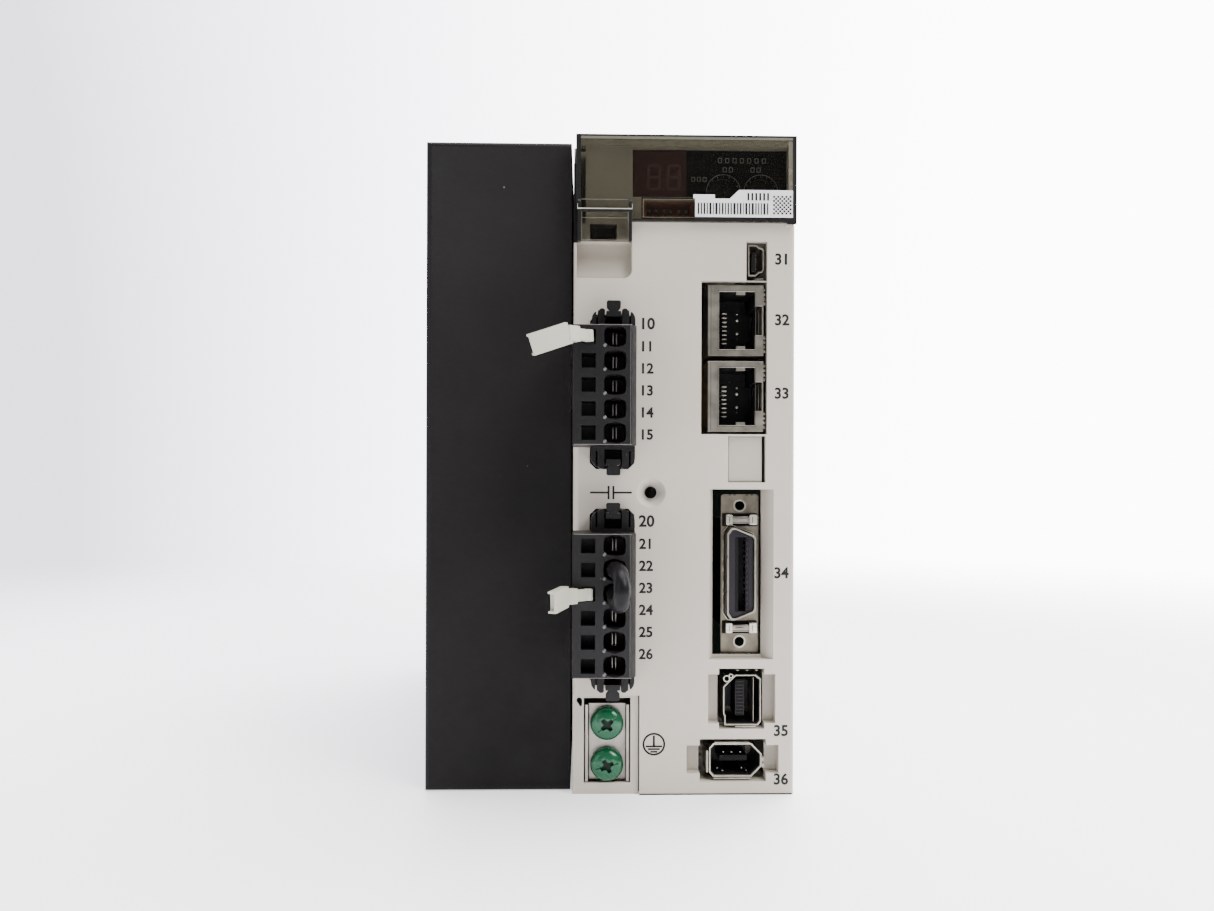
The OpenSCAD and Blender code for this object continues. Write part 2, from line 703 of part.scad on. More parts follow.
module plug(poles, mid) {
    neck_z = neck_half(poles) - 0.3;
    color("#262628") difference() {
        union() {
            translate([0, 0, mid - block_half(poles)]) linear_extrude(2 * block_half(poles))
                polygon([[plug_x[0], plug_face], [plug_x[1] - 1.1, plug_face],
                         [plug_x[1], plug_face + 2.2], [plug_x[1], front - 1.5],
                         [plug_x[0], front - 1.5]]);
            slab([front - neck_out, front + wall], rounded(neck_x, z_span(mid, neck_z), 2));
            // rounded ribs on both sides of each latch
            for (x = [latch_mid - 2.5, latch_mid + 2.5], s = [-1, 1])
                rod_y(x, [front - neck_out, front - 1], mid + s * (neck_z - 0.4), 0.75);
            span([-3.2, 4.2], [front + wall - e, front + 13], z_span(mid, block_half(poles) - 0.5));
        }
        for (i = [0 : poles - 1]) {
            z = row_z(poles, mid, i);
            round_slab([hole_x - wire_hole[0] / 2, hole_x + wire_hole[0] / 2],
                       [plug_face - 1, plug_face + 10],
                       z_span(z, wire_hole[1] / 2), 1);
            translate([hole_x, plug_face - e, z]) rotate([-90, 0, 0])
                cylinder(h = 1, r1 = 2.42, r2 = 1.9);
            span([slot_x - lever_slot[0] / 2, slot_x + lever_slot[0] / 2],
                 [plug_face - 1, plug_face + 6], z_span(z, lever_slot[1] / 2));
            rod_y(hole_x - 2.2, [plug_face - 1, plug_face + 3], z - 1.9, 0.35);
        }
        // pockets of the two latch arms, with the holes of their pins
        for (s = [-1, 1]) {
            z = mid + s * (neck_half(poles) - 1.4);
            span([latch_x[0] - 0.3, latch_x[1] + 0.3], deep(-neck_out - 1, 1.4),
                 z_span(mid + s * neck_half(poles), 4.2));
            // grooves on both sides of the latch
            for (x = [-3.35, 3.95])
                span([x, x + 0.4], deep(-neck_out - 1, -1),
                     z_span(mid + s * neck_half(poles), 3.9));
            rod_x([latch_x[0] - 1.1, latch_x[1] + 1.1], front + latch_pivot_in, z,
                  latch_pin_r + running);
        }
    }
}

// Sprung finger piece of a plug's end: s is 1 at the top and -1 at the bottom
module latch(poles, mid, s) {
    base = mid + s * neck_half(poles);
    y = deep(-9.6, latch_pivot_in);
    color("#2e2b2a") {
        span(latch_x, y, z_span(base - s * 1.4, 0.6));
        rod_x(latch_x, front + latch_pivot_in, base - s * 1.4, 0.6);
        rod_x([latch_x[0] - 0.8, latch_x[1] + 0.8], front + latch_pivot_in, base - s * 1.4,
              latch_pin_r);
        slab(deep(-9.6, -8.4), [for (c = s > 0 ? latch_pad : flipped(latch_pad))
                                [latch_mid + c[0], base + s * c[1]]]);
    }
}

// Two sheets of each pole's spring clamp; they start deeper where a wire is held
module clamps(poles, mid, wired) {
    color("silver") for (i = [0 : poles - 1], s = [-1, 1]) {
        start = len(search(i, wired)) > 0 ? 5.2 : 3.4;
        span([hole_x + s * 0.36 - 0.13, hole_x + s * 0.36 + 0.13],
             [plug_face + start, plug_face + 10],
             z_span(row_z(poles, mid, i), 1.3));
    }
}

// Wire-release lever: a knuckle in the square slot, a slim arm and a bent, hollow-ended handle
module lever(poles, mid, pose) {
    translate([slot_x, plug_face - lever_axis_out, row_z(poles, mid, pose[0])])
        rotate([0, pose[2], 0]) rotate([0, 0, pose[1]]) color("#cdcdbe") {
            rod_z(0, 0, [-1.2, 1.2], 1);
            span([-6.6, 0], [-0.6, 0.6], [-1.2, 1.2]);
            span([-6.8, -3.6], [-0.9, 0.7], [-1.6, 1.6]);
            translate([-6.6, 0, 0]) rotate([0, pose[4], 0]) rotate([0, 0, pose[3] - pose[1]])
                difference() {
                    span([-handle_l, 0.4], [-handle_t / 2, handle_t / 2], [-2.2, 2.2]);
                    span([-handle_l - 1, 1.6 - handle_l], [0.6 - handle_t / 2, 1], [-1.7, 1.7]);
                }
        }
}

module mains_plug() { plug(5, mains_z); }
module motor_plug() { plug(6, motor_z); }
module mains_clamps() { clamps(5, mains_z, []); }
module motor_clamps() { clamps(6, motor_z, jumper_rows); }
module mains_latch_top() { latch(5, mains_z, 1); }
module mains_latch_bottom() { latch(5, mains_z, -1); }
module motor_latch_top() { latch(6, motor_z, 1); }
module motor_latch_bottom() { latch(6, motor_z, -1); }
module mains_lever() { lever(5, mains_z, mains_lever_pose); }
module motor_lever() { lever(6, motor_z, motor_lever_pose); }

// A smooth curve through the route's points, and a tube swept along it
function curve_at(p, i, t) =
    let (a = p[max(i - 1, 0)], b = p[i], c = p[i + 1], d = p[min(i + 2, len(p) - 1)])
    0.5 * (2 * b + (c - a) * t + (2 * a - 5 * b + 4 * c - d) * t * t
           + (3 * b - a - 3 * c + d) * t * t * t);
function curve(p, steps) = [for (i = [0 : len(p) - 2], s = [0 : steps - 1])
                            curve_at(p, i, s / steps), p[len(p) - 1]];
function unit(v) = v / norm(v);
function ring(p, i, r, sides) =
    let (t = unit(p[min(i + 1, len(p) - 1)] - p[max(i - 1, 0)]),
         u = unit(cross(t, [1, 0.15, 0])), v = cross(t, u))
    [for (k = [0 : sides - 1]) p[i] + r * (cos(360 * k / sides) * u + sin(360 * k / sides) * v)];

module tube(points, r, sides) {
    n = len(points);
    rings = [for (i = [0 : n - 1]) each ring(points, i, r, sides)];
    walls = [for (i = [0 : n - 2], k = [0 : sides - 1])
             [i * sides + k, i * sides + (k + 1) % sides,
              (i + 1) * sides + (k + 1) % sides, (i + 1) * sides + k]];
    first = [for (k = [sides - 1 : -1 : 0]) k];
    last = [for (k = [0 : sides - 1]) (n - 1) * sides + k];
    polyhedron(points = rings, faces = concat(walls, [first, last]), convexity = 6);
}

module jumper_wire() {
    mid = (row_z(6, motor_z, jumper_rows[0]) + row_z(6, motor_z, jumper_rows[1])) / 2;
    route = [for (p = jumper_route) [hole_x + p[1], plug_face - p[0], mid + p[2]]];
    color("#2a2a2d") tube(curve(route, 3), jumper_r, 12);
}

// ---------------------------------------------------------------- power section

module heat_sink() {
    color("silver") {
        span(sink_base, sink_y, [6, 120]);
        for (y = [sink_y[0] : fin_pitch : sink_y[1] - fin_t])
            span([-39.5, sink_base[0] + e], [y, y + fin_t], [6, 120]);
    }
}

module power_module() {
    color("#202022") {
        span([sink_base[1], power_x[0] - 1], [-30, 30], [30, 92]);
        for (z = [36 : 6 : 86], y = [-28, 27])
            span([power_x[0] - 1 - e, power_x[0]], [y, y + 1], [z, z + 1]);
    }
}

module power_board() {
    color("#14301f") span(power_x, [front + 5.5, 76], [8, 122]);
}

module control_board() {
    color("#14301f") difference() {
        span(control_x, [front + 5, 60], [3, 128]);
        for (y = [-50, 40], z = [16, 118]) rod_x([control_x[0] - 1, control_x[1] + 1], y, z, 1.3);
    }
}

module board_screws() {
    color("silver") for (y = [-50, 40], z = [16, 118]) {
        rod_x([control_x[0] - 1.8, control_x[0]], y, z, 2.6);
        rod_x([control_x[0] - e, right_x - 1], y, z, 1.2);
    }
}

module board_link() {
    z = [66, 84];
    color("#8f8f8a") {
        span([power_x[1], control_x[0]], [55.5, 56.5], z);
        for (x = [[power_x[1], power_x[1] + 7], [control_x[0] - 7, control_x[0]]])
            span(x, [54, 58], [z[0] - 1, z[1] + 1]);
    }
}

module bus_capacitors() {
    can_r = 11;
    color("#27272b") for (y = [-18, 6, 30], z = [34, 60])
        rod_x([power_x[1], 29], y, z, can_r);
}

module relay() { color("#2d2d33") span([power_x[1], 10], [-54, -36], [96, 118]); }

module transformer() {
    color("#3a3a36") span([power_x[1], 4], [-24, 0], [84, 112]);
    color("#b58a2e") span([4 - e, 16], [-21, -3], [88, 108]);
}

module regen_resistor() {
    color("#8a8c8e") {
        span([-38, -20], [-76, -62], [14, 116]);
        for (z = [22 : 8 : 104]) span([-36, -22], [-78, -76 + e], [z, z + 3]);
    }
}

module fan_frame() {
    half = fan_size / 2;
    at = fan_at;
    color("#1c1c1e") {
        difference() {
            span([at[0] - half, at[0] + half], [at[1] - half, at[1] + half], fan_z);
            rod_z(at[0], at[1], [fan_z[0] - 1, fan_z[1] + 1], half - 1);
            for (x = [-1, 1], y = [-1, 1])
                rod_z(at[0] + x * fan_hole, at[1] + y * fan_hole,
                      [fan_z[0] - 1, fan_z[1] + 1], 1.5);
        }
        difference() {
            union() {
                rod_z(at[0], at[1], [fan_z[0], fan_z[0] + 3], 9);
                for (a = [0, 90]) translate([at[0], at[1], fan_z[0] + 1]) rotate([0, 0, a])
                    cube([2 * half - 1, 2.4, 2], center = true);
            }
            rod_z(at[0], at[1], [fan_z[0] + 1, fan_z[0] + 4], 1.5 + running);
        }
    }
}

module fan_rotor() {
    hub_z = [fan_z[0] + 4, fan_z[1] - 1];
    color("#2a2a2c") translate([fan_at[0], fan_at[1], 0]) {
        translate([0, 0, hub_z[0]]) cylinder(h = hub_z[1] - hub_z[0], r = 9);
        translate([0, 0, hub_z[0] - 2.6]) cylinder(h = 3, r = 1.5);
        intersection() {
            translate([0, 0, hub_z[0]]) cylinder(h = hub_z[1] - hub_z[0], r = 17.8);
            for (i = [0 : fan_blades - 1]) rotate([0, 0, i * 360 / fan_blades])
                translate([13, 0, (hub_z[0] + hub_z[1]) / 2]) rotate([50, 0, 0])
                    cube([12, 15, 1.2], center = true);
        }
    }
}

module fan_screws() {
    color("#2b2b2d") for (x = [-1, 1], y = [-1, 1]) difference() {
        at = [fan_at[0] + x * fan_hole, fan_at[1] + y * fan_hole];
        union() {
            rod_z(at[0], at[1], [body_h - 12, body_h + e], 1.5);
            rod_z(at[0], at[1], [body_h, body_h + 1.2], 2.7);
        }
        for (a = [0, 90]) translate([at[0], at[1], body_h + 1.2]) rotate([0, 0, a])
            cube([3, 0.7, 1.4], center = true);
    }
}

module case_screws() {
    color("silver") for (x = [left_x + 5, right_x - 5], z = [12, body_h - 12]) difference() {
        union() {
            rod_y(x, [rear - 2, rear - 0.2], z, 2.8);
            rod_y(x, [rear - 12, rear - 2 + e], z, 1.5);
        }
        for (a = [0, 90]) translate([x, rear - 0.2, z]) rotate([0, a, 0])
            cube([3.2, 1.6, 0.7], center = true);
    }
}

rear_frame();
side_cover();
case_shell();
front_panel();
heat_sink();
power_module();
power_board();
control_board();
board_screws();
board_link();
bus_capacitors();
relay();
transformer();
regen_resistor();
fan_frame();
fan_rotor();
fan_screws();
case_screws();
display_cover();
cover_label();
display_plate();
display_board();
digit_module();
status_lamps();
rotary_bodies();
rotary_dial_1();
rotary_dial_2();
monitor_socket();
monitor_pins();
usb_shell();
usb_insert();
network_shells();
network_inserts();
network_contacts();
blank_plate();
io_flange();
io_shell();
io_insert();
io_contacts();
io_latches();
scale_shell();
scale_insert();
encoder_shell();
encoder_insert();
charge_lamp();
earth_plate();
earth_screws();
plug_headers();
header_pins();
mains_plug();
mains_clamps();
mains_latch_top();
mains_latch_bottom();
mains_lever();
motor_plug();
motor_clamps();
motor_latch_top();
motor_latch_bottom();
motor_lever();
jumper_wire();
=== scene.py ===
"""Looks of the servo drive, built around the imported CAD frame. Metres, +Z up, front towards -Y."""
import json
import math

import bmesh
import bpy
from mathutils import Matrix, Vector


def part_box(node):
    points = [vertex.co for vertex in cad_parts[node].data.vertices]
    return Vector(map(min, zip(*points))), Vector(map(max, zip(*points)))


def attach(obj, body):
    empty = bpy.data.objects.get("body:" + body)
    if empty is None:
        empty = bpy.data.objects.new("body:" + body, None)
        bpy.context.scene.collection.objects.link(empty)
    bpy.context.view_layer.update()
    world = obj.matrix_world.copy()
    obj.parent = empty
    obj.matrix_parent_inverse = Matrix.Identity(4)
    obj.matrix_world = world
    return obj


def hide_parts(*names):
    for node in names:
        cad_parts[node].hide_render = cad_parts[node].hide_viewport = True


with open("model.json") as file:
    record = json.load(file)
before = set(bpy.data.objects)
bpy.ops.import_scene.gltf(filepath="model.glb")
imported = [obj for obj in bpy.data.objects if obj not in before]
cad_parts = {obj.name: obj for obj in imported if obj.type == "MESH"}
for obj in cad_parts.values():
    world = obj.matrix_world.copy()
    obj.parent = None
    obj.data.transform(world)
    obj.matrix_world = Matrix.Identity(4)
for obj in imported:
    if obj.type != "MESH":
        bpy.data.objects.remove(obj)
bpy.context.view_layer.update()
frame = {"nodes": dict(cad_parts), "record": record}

NODES = frame["nodes"]
MM = 0.001
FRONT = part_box("front_panel")[0][1] / MM          # the plastic front's plane, in mm
HOUSING = "housing"
SLOTS = {part["node"]: part["material_slot"] for part in frame["record"]["subparts"]}


# ---------------------------------------------------------------- materials

def new_material(name):
    material = bpy.data.materials.new(name)
    material.use_nodes = True
    tree = material.node_tree
    shader = tree.nodes["Principled BSDF"]
    return material, tree, shader


def node(tree, kind, **values):
    made = tree.nodes.new(kind)
    for key, value in values.items():
        setattr(made, key, value)
    return made


def noise(tree, scale, detail=4.0, stretch=(1, 1, 1)):
    """Noise in object coordinates, with scale in features per metre; stretch draws it out."""
    coords = node(tree, "ShaderNodeTexCoord")
    mapping = node(tree, "ShaderNodeMapping")
    mapping.inputs["Scale"].default_value = stretch
    texture = node(tree, "ShaderNodeTexNoise")
    texture.inputs["Scale"].default_value = scale
    texture.inputs["Detail"].default_value = detail
    tree.links.new(coords.outputs["Object"], mapping.inputs["Vector"])
    tree.links.new(mapping.outputs["Vector"], texture.inputs["Vector"])
    return texture.outputs["Fac"]


def ramp(tree, value, stops):
    made = node(tree, "ShaderNodeValToRGB")
    elements = made.color_ramp.elements
    while len(elements) < len(stops):
        elements.new(0.5)
    for element, (place, colour) in zip(elements, stops):
        element.position = place
        element.color = (*colour, 1) if len(colour) == 3 else colour
    tree.links.new(value, made.inputs["Fac"])
    return made.outputs["Color"]


def span_value(tree, value, low, high):
    """Maps a noise value, which mostly lies between 0.3 and 0.7, to low..high."""
    made = node(tree, "ShaderNodeMapRange")
    made.inputs["From Min"].default_value = 0.3
    made.inputs["From Max"].default_value = 0.7
    made.inputs["To Min"].default_value = low
    made.inputs["To Max"].default_value = high
    tree.links.new(value, made.inputs["Value"])
    return made.outputs["Result"]


def add_bump(tree, shader, layers):
    """Stacks bump layers, each (noise output, strength, height in mm)."""
    normal = None
    for value, strength, height in layers:
        bump = node(tree, "ShaderNodeBump")
        bump.inputs["Strength"].default_value = strength
        bump.inputs["Distance"].default_value = height * MM
        tree.links.new(value, bump.inputs["Height"])
        if normal:
            tree.links.new(normal, bump.inputs["Normal"])
        normal = bump.outputs["Normal"]
    tree.links.new(normal, shader.inputs["Normal"])


def shade(colour, factor):
    return tuple(min(1.0, c * factor) for c in colour)


def add_specks(tree, shader, base, speck_colour, per_metre, size):
    """Pale dust specks over a base colour."""
    cells = node(tree, "ShaderNodeTexVoronoi")
    cells.inputs["Scale"].default_value = per_metre
    coords = node(tree, "ShaderNodeTexCoord")
    tree.links.new(coords.outputs["Object"], cells.inputs["Vector"])
    speck = ramp(tree, cells.outputs["Distance"], [(0.0, (1, 1, 1)), (size, (0, 0, 0))])
    mix = node(tree, "ShaderNodeMix", data_type="RGBA")
    mix.inputs["B"].default_value = (*speck_colour, 1)
    tree.links.new(speck, mix.inputs["Factor"])
    tree.links.new(base, mix.inputs["A"])
    tree.links.new(mix.outputs["Result"], shader.inputs["Base Color"])


def painted_recess_shade(tree, base, factor):
    """Painted shade: faces that look forward from behind the panel's front plane are darkened, with
    a slight warm tint, standing in for the shade in recesses.
    """
    place = node(tree, "ShaderNodeNewGeometry")
    parts = [node(tree, "ShaderNodeSeparateXYZ") for _ in range(2)]
    tree.links.new(place.outputs["Position"], parts[0].inputs["Vector"])
    tree.links.new(place.outputs["Normal"], parts[1].inputs["Vector"])
    deep = node(tree, "ShaderNodeMapRange", interpolation_type="SMOOTHSTEP")
    deep.inputs["From Min"].default_value = (FRONT + 0.3) * MM
    deep.inputs["From Max"].default_value = (FRONT + 2.2) * MM
    tree.links.new(parts[0].outputs["Y"], deep.inputs["Value"])
    facing = node(tree, "ShaderNodeMapRange")
    facing.inputs["From Min"].default_value = -0.2
    facing.inputs["From Max"].default_value = -0.6
    tree.links.new(parts[1].outputs["Y"], facing.inputs["Value"])
    both = node(tree, "ShaderNodeMath", operation="MULTIPLY")
    tree.links.new(deep.outputs["Result"], both.inputs[0])
    tree.links.new(facing.outputs["Result"], both.inputs[1])
    mix = node(tree, "ShaderNodeMix", data_type="RGBA", blend_type="MULTIPLY")
    mix.inputs["B"].default_value = (factor, factor * 0.985, factor * 0.95, 1)
    tree.links.new(both.outputs["Value"], mix.inputs["Factor"])
    tree.links.new(base, mix.inputs["A"])
    return mix.outputs["Result"]


GRAIN_PER_METRE = 4500
DUST_PER_METRE = 260
DUST_SIZE = 0.045


def plastic(name, colour, rough=(0.4, 0.5), grain=0.02, mottle=0.05,
            specular=0.5, coat=0.0, specks=None, recess=None):
    """Moulded plastic: fine grain, a slow waviness of the moulding and faint mottling."""
    material, tree, shader = new_material(name)
    slow = noise(tree, 45, 3)
    fine = noise(tree, GRAIN_PER_METRE, 3)
    base = ramp(tree, slow, [(0.3, shade(colour, 1 - mottle)), (0.7, shade(colour, 1 + mottle))])
    # recess darkens faces set back behind the front plane: painted shade
    if recess:
        base = painted_recess_shade(tree, base, recess)
    if specks:
        add_specks(tree, shader, base, specks, DUST_PER_METRE, DUST_SIZE)
    else:
        tree.links.new(base, shader.inputs["Base Color"])
    tree.links.new(span_value(tree, noise(tree, 240, 5), *rough), shader.inputs["Roughness"])
    shader.inputs["Specular IOR Level"].default_value = specular
    shader.inputs["Coat Weight"].default_value = coat
    add_bump(tree, shader, [(fine, 0.35, grain), (noise(tree, 60, 2), 0.15, 0.05)])
    return material


def metal(name, colour, rough=(0.25, 0.4), brushed=None, scratch=0.004, tarnish=0.12,
          metallic=1.0):
    """Bare or plated metal; brushed gives the stretch of its grain."""
    material, tree, shader = new_material(name)
    stain = noise(tree, 300, 6)
    tree.links.new(ramp(tree, stain, [(0.3, shade(colour, 1 - tarnish)), (0.65, colour)]),
                   shader.inputs["Base Color"])
    shader.inputs["Metallic"].default_value = metallic
    tree.links.new(span_value(tree, noise(tree, 500, 6), *rough), shader.inputs["Roughness"])
    grain = noise(tree, 900, 4, brushed or (1, 1, 1))
    add_bump(tree, shader, [(grain, 0.4, scratch)])
    return material


def powder_coat(name, colour):
    """Matte powder-coated sheet with orange peel and a few pale specks of dust."""
    material, tree, shader = new_material(name)
    base = ramp(tree, noise(tree, 30, 4), [(0.3, shade(colour, 0.8)), (0.7, shade(colour, 1.2))])
    add_specks(tree, shader, base, (0.2, 0.19, 0.18), 105, 0.028)
    tree.links.new(span_value(tree, noise(tree, 200, 5), 0.55, 0.68), shader.inputs["Roughness"])
    shader.inputs["Specular IOR Level"].default_value = 0.12
    add_bump(tree, shader, [(noise(tree, 2200, 2), 0.5, 0.02)])
    return material


def smoked_plastic(name, tint, gloss):
    """Clear smoked plastic: light that passes a surface is tinted, and the rest is gloss."""
    material, tree, shader = new_material(name)
    shader.inputs["Base Color"].default_value = (0.02, 0.019, 0.016, 1)
    tree.links.new(span_value(tree, noise(tree, 150, 4), 0.04, 0.12), shader.inputs["Roughness"])
    add_bump(tree, shader, [(noise(tree, 70, 2), 0.1, 0.03)])
    clear = node(tree, "ShaderNodeBsdfTransparent")
    clear.inputs["Color"].default_value = (*tint, 1)
    mix = node(tree, "ShaderNodeMixShader")
    mix.inputs["Fac"].default_value = gloss
    tree.links.new(clear.outputs["BSDF"], mix.inputs[1])
    tree.links.new(shader.outputs["BSDF"], mix.inputs[2])
    tree.links.new(mix.outputs["Shader"], tree.nodes["Material Output"].inputs["Surface"])
    return material


def board_mask(name):
    """Solder mask over copper tracks."""
    material, tree, shader = new_material(name)
    tracks = node(tree, "ShaderNodeTexBrick")
    tracks.inputs["Scale"].default_value = 130
    tracks.inputs["Color1"].default_value = (0.006, 0.05, 0.024, 1)
    tracks.inputs["Color2"].default_value = (0.008, 0.062, 0.03, 1)
    tracks.inputs["Mortar"].default_value = (0.016, 0.11, 0.05, 1)
    tracks.inputs["Mortar Size"].default_value = 0.03
    coords = node(tree, "ShaderNodeTexCoord")
    mapping = node(tree, "ShaderNodeMapping")
    mapping.inputs["Rotation"].default_value = (0, math.radians(90), 0)
    tree.links.new(coords.outputs["Object"], mapping.inputs["Vector"])
    tree.links.new(mapping.outputs["Vector"], tracks.inputs["Vector"])
    tree.links.new(tracks.outputs["Color"], shader.inputs["Base Color"])
    shader.inputs["Roughness"].default_value = 0.3
    add_bump(tree, shader, [(noise(tree, 1500, 2), 0.2, 0.01)])
    return material


CREAM = (0.445, 0.404, 0.342)
DUST = (0.16, 0.155, 0.15)
MATERIALS = {
    "cast_frame": metal("cast_frame", (0.55, 0.56, 0.57), (0.45, 0.6), scratch=0.02),
    "black_sheet": powder_coat("black_sheet", (0.0075, 0.0066, 0.0066)),
    # the cream front carries painted shade in its recesses
    "cream_plastic": plastic("cream_plastic", CREAM, (0.42, 0.55), 0.012, mottle=0.02, recess=0.73),
    # a darker copy of the cream: a slightly greyer plastic, darkened further as painted shade of the
    # blank plate's recess
    "blank_plastic": plastic("blank_plastic", shade(CREAM, 0.8), (0.4, 0.5), mottle=0.03),
    "raw_aluminium": metal("raw_aluminium", (0.66, 0.67, 0.68), (0.3, 0.45), (1, 1, 0.05)),
    "black_plastic": plastic("black_plastic", (0.0062, 0.0058, 0.0058), (0.36, 0.5), 0.008,
                             specular=0.2, specks=DUST),
    "circuit_board": board_mask("circuit_board"),
    "steel_zinc": metal("steel_zinc", (0.34, 0.31, 0.275), (0.34, 0.5)),
    "nickel_shell": metal("nickel_shell", (0.31, 0.288, 0.238), (0.28, 0.45), tarnish=0.35),
    "gold_contact": metal("gold_contact", (0.62, 0.57, 0.47), (0.2, 0.35)),
    "smoked_cover": smoked_plastic("smoked_cover", (0.615, 0.613, 0.58), 0.1),
    "paper_label": plastic("paper_label", (0.66, 0.655, 0.65), (0.35, 0.5), 0.004, mottle=0.01),
    "display_face": plastic("display_face", (0.0055, 0.005, 0.006), (0.55, 0.65), 0.001,
                            specular=0.06),
    "lamp_lens": plastic("lamp_lens", (0.002, 0.0015, 0.001), (0.3, 0.4), 0.002, specular=0.02),
    "dial_plastic": plastic("dial_plastic", (0.018, 0.018, 0.012), (0.35, 0.5), 0.004,
                            specular=0.2),
    "brown_plastic": plastic("brown_plastic", (0.5, 0.2, 0.13), (0.35, 0.5), 0.006),
    "slate_plastic": plastic("slate_plastic", (0.0125, 0.0105, 0.0135), (0.35, 0.5), 0.005,
                             specular=0.2),
    "green_screw": metal("green_screw", (0.003, 0.078, 0.03), (0.16, 0.28), metallic=0.2),
    "lever_nylon": plastic("lever_nylon", (0.4, 0.385, 0.31), (0.38, 0.5), 0.006, mottle=0.05),
    "wire_jacket": plastic("wire_jacket", (0.005, 0.0045, 0.005), (0.28, 0.4), 0.004,
                           specular=0.13),
    "can_sleeve": plastic("can_sleeve", (0.02, 0.02, 0.026), (0.2, 0.3), 0.003, coat=0.3),
    "winding_tape": plastic("winding_tape", (0.6, 0.38, 0.07), (0.25, 0.4), 0.004),
    "ribbon_grey": plastic("ribbon_grey", (0.3, 0.3, 0.29), (0.4, 0.5), 0.004),
}
INK = plastic("ink", (0.008, 0.008, 0.008), (0.5, 0.6), 0.002, specular=0.2)
FAINT_INK = plastic("faint_ink", (0.17, 0.163, 0.16), (0.5, 0.6), 0.002, specular=0.2)
SMOKED_EDGE = smoked_plastic("smoked_edge", (0.16, 0.155, 0.13), 0.3)
SMOKED_ROOF = smoked_plastic("smoked_roof", (0.25, 0.24, 0.2), 0.2)
RED_FILTER = plastic("red_filter", (0.075, 0.03, 0.028), (0.25, 0.35), 0.002, specular=0.2)
UNLIT_SEGMENT = plastic("unlit_segment", (0.115, 0.066, 0.062), (0.4, 0.5), 0.002, specular=0.2)
PROBE = plastic("probe_dull", (0.1, 0.1, 0.098), (0.4, 0.5), 0.002, specular=0.3)
# light grey for painted highlights along the plugs' edges
PLUG_HIGHLIGHT = plastic("painted_edge_highlight", (0.13, 0.12, 0.115), (0.4, 0.5), 0.002, specular=0.3)
# near-black green for painted shade at the bottom of the screws' cross recesses
CROSS_SHADE = plastic("screw_recess_painted_shade", (0.004, 0.016, 0.008), (0.4, 0.5), 0.002, specular=0.2)
# dark grey for painted shade lines at edges and in grooves
DARK_LINE = plastic("dark_line", (0.06, 0.057, 0.05), (0.5, 0.6), 0.002, specular=0.2)
SEAM = plastic("seam_shadow", (0.006, 0.006, 0.006), (0.6, 0.7), 0.002, specular=0.1)
PALE_RIM = plastic("pale_rim", (0.34, 0.33, 0.27), (0.2, 0.3), 0.002)
PALE_LINE = plastic("pale_line", (0.9, 0.78, 0.66), (0.4, 0.5), 0.002)
# olive for painted highlights on the cover's edges
OLIVE_LINE = plastic("olive_line", (0.105, 0.098, 0.072), (0.3, 0.4), 0.002)
# for a painted highlight inside the cover's right rim
EDGE_GLOW = plastic("edge_glow", (0.1, 0.088, 0.065), (0.2, 0.3), 0.002)
BLACK_EDGE = plastic("black_edge", (0.007, 0.0065, 0.006), (0.25, 0.35), 0.002, specular=0.3)
SOFT_LINE = plastic("soft_line", (0.27, 0.245, 0.205), (0.5, 0.6), 0.002)
# dark brown for the painted dark reflection on the 26-way shell's outer sides
SIDE_REFLECTION = plastic("shell_side", (0.035, 0.026, 0.014), (0.3, 0.4), 0.002)
# a lit copy of the shell nickel: painted highlights on bail ends, shell feet, port mouths and
# contact tips
NICKEL_LIT = metal("nickel_lit", (0.6, 0.57, 0.47), (0.2, 0.35), tarnish=0.3)
# a darker copy of the shell nickel, with heavier tarnish and scratches: painted shade on the 26-way
# socket's flange
NICKEL_SHADED = metal("nickel_shaded", (0.185, 0.165, 0.125), (0.3, 0.45), scratch=0.012, tarnish=0.4)
# a half-lit copy of the shell nickel: painted highlights on the 26-way shell's mouth and screw rings
NICKEL_HALF_LIT = metal("nickel_half_lit", (0.4, 0.375, 0.31), (0.25, 0.4), tarnish=0.25)
RIB_FAINT = plastic("rib_faint", (0.017, 0.015, 0.016), (0.4, 0.5), 0.002, specular=0.2)


# ---------------------------------------------------------------- mesh building

def soften(piece, bevel, segments=2, angle=35):
    """Gives a mesh the small rounded edges of a real part, by modifiers."""
    weld = piece.modifiers.new("weld", "WELD")
    weld.merge_threshold = 0.002 * MM
    flat = piece.modifiers.new("flat", "DECIMATE")
    flat.decimate_type = "DISSOLVE"
    flat.angle_limit = math.radians(1)
    edge = piece.modifiers.new("edge", "BEVEL")
    edge.width = bevel * MM
    edge.segments = segments
    edge.limit_method = "ANGLE"
    edge.angle_limit = math.radians(angle)
    edge.use_clamp_overlap = True
    shading = piece.modifiers.new("shading", "WEIGHTED_NORMAL")
    shading.keep_sharp = False
    for polygon in piece.data.polygons:
        polygon.use_smooth = True


def circle(x, z, r, sides=24):
    return [(x + r * math.cos(2 * math.pi * i / sides),
             z + r * math.sin(2 * math.pi * i / sides)) for i in range(sides)]


CORNER_STEPS = 4


def rectangle(x, z, r=0.0):
    """A rectangle's outline, counterclockwise, with corners of radius r."""
    if not r:
        return [(x[0], z[0]), (x[1], z[0]), (x[1], z[1]), (x[0], z[1])]
    points = []
    for cx, cz, start in ((x[1] - r, z[0] + r, -90), (x[1] - r, z[1] - r, 0),
                          (x[0] + r, z[1] - r, 90), (x[0] + r, z[0] + r, 180)):
        for i in range(CORNER_STEPS + 1):
            a = math.radians(start + 90 * i / CORNER_STEPS)
            points.append((cx + r * math.cos(a), cz + r * math.sin(a)))
    return points


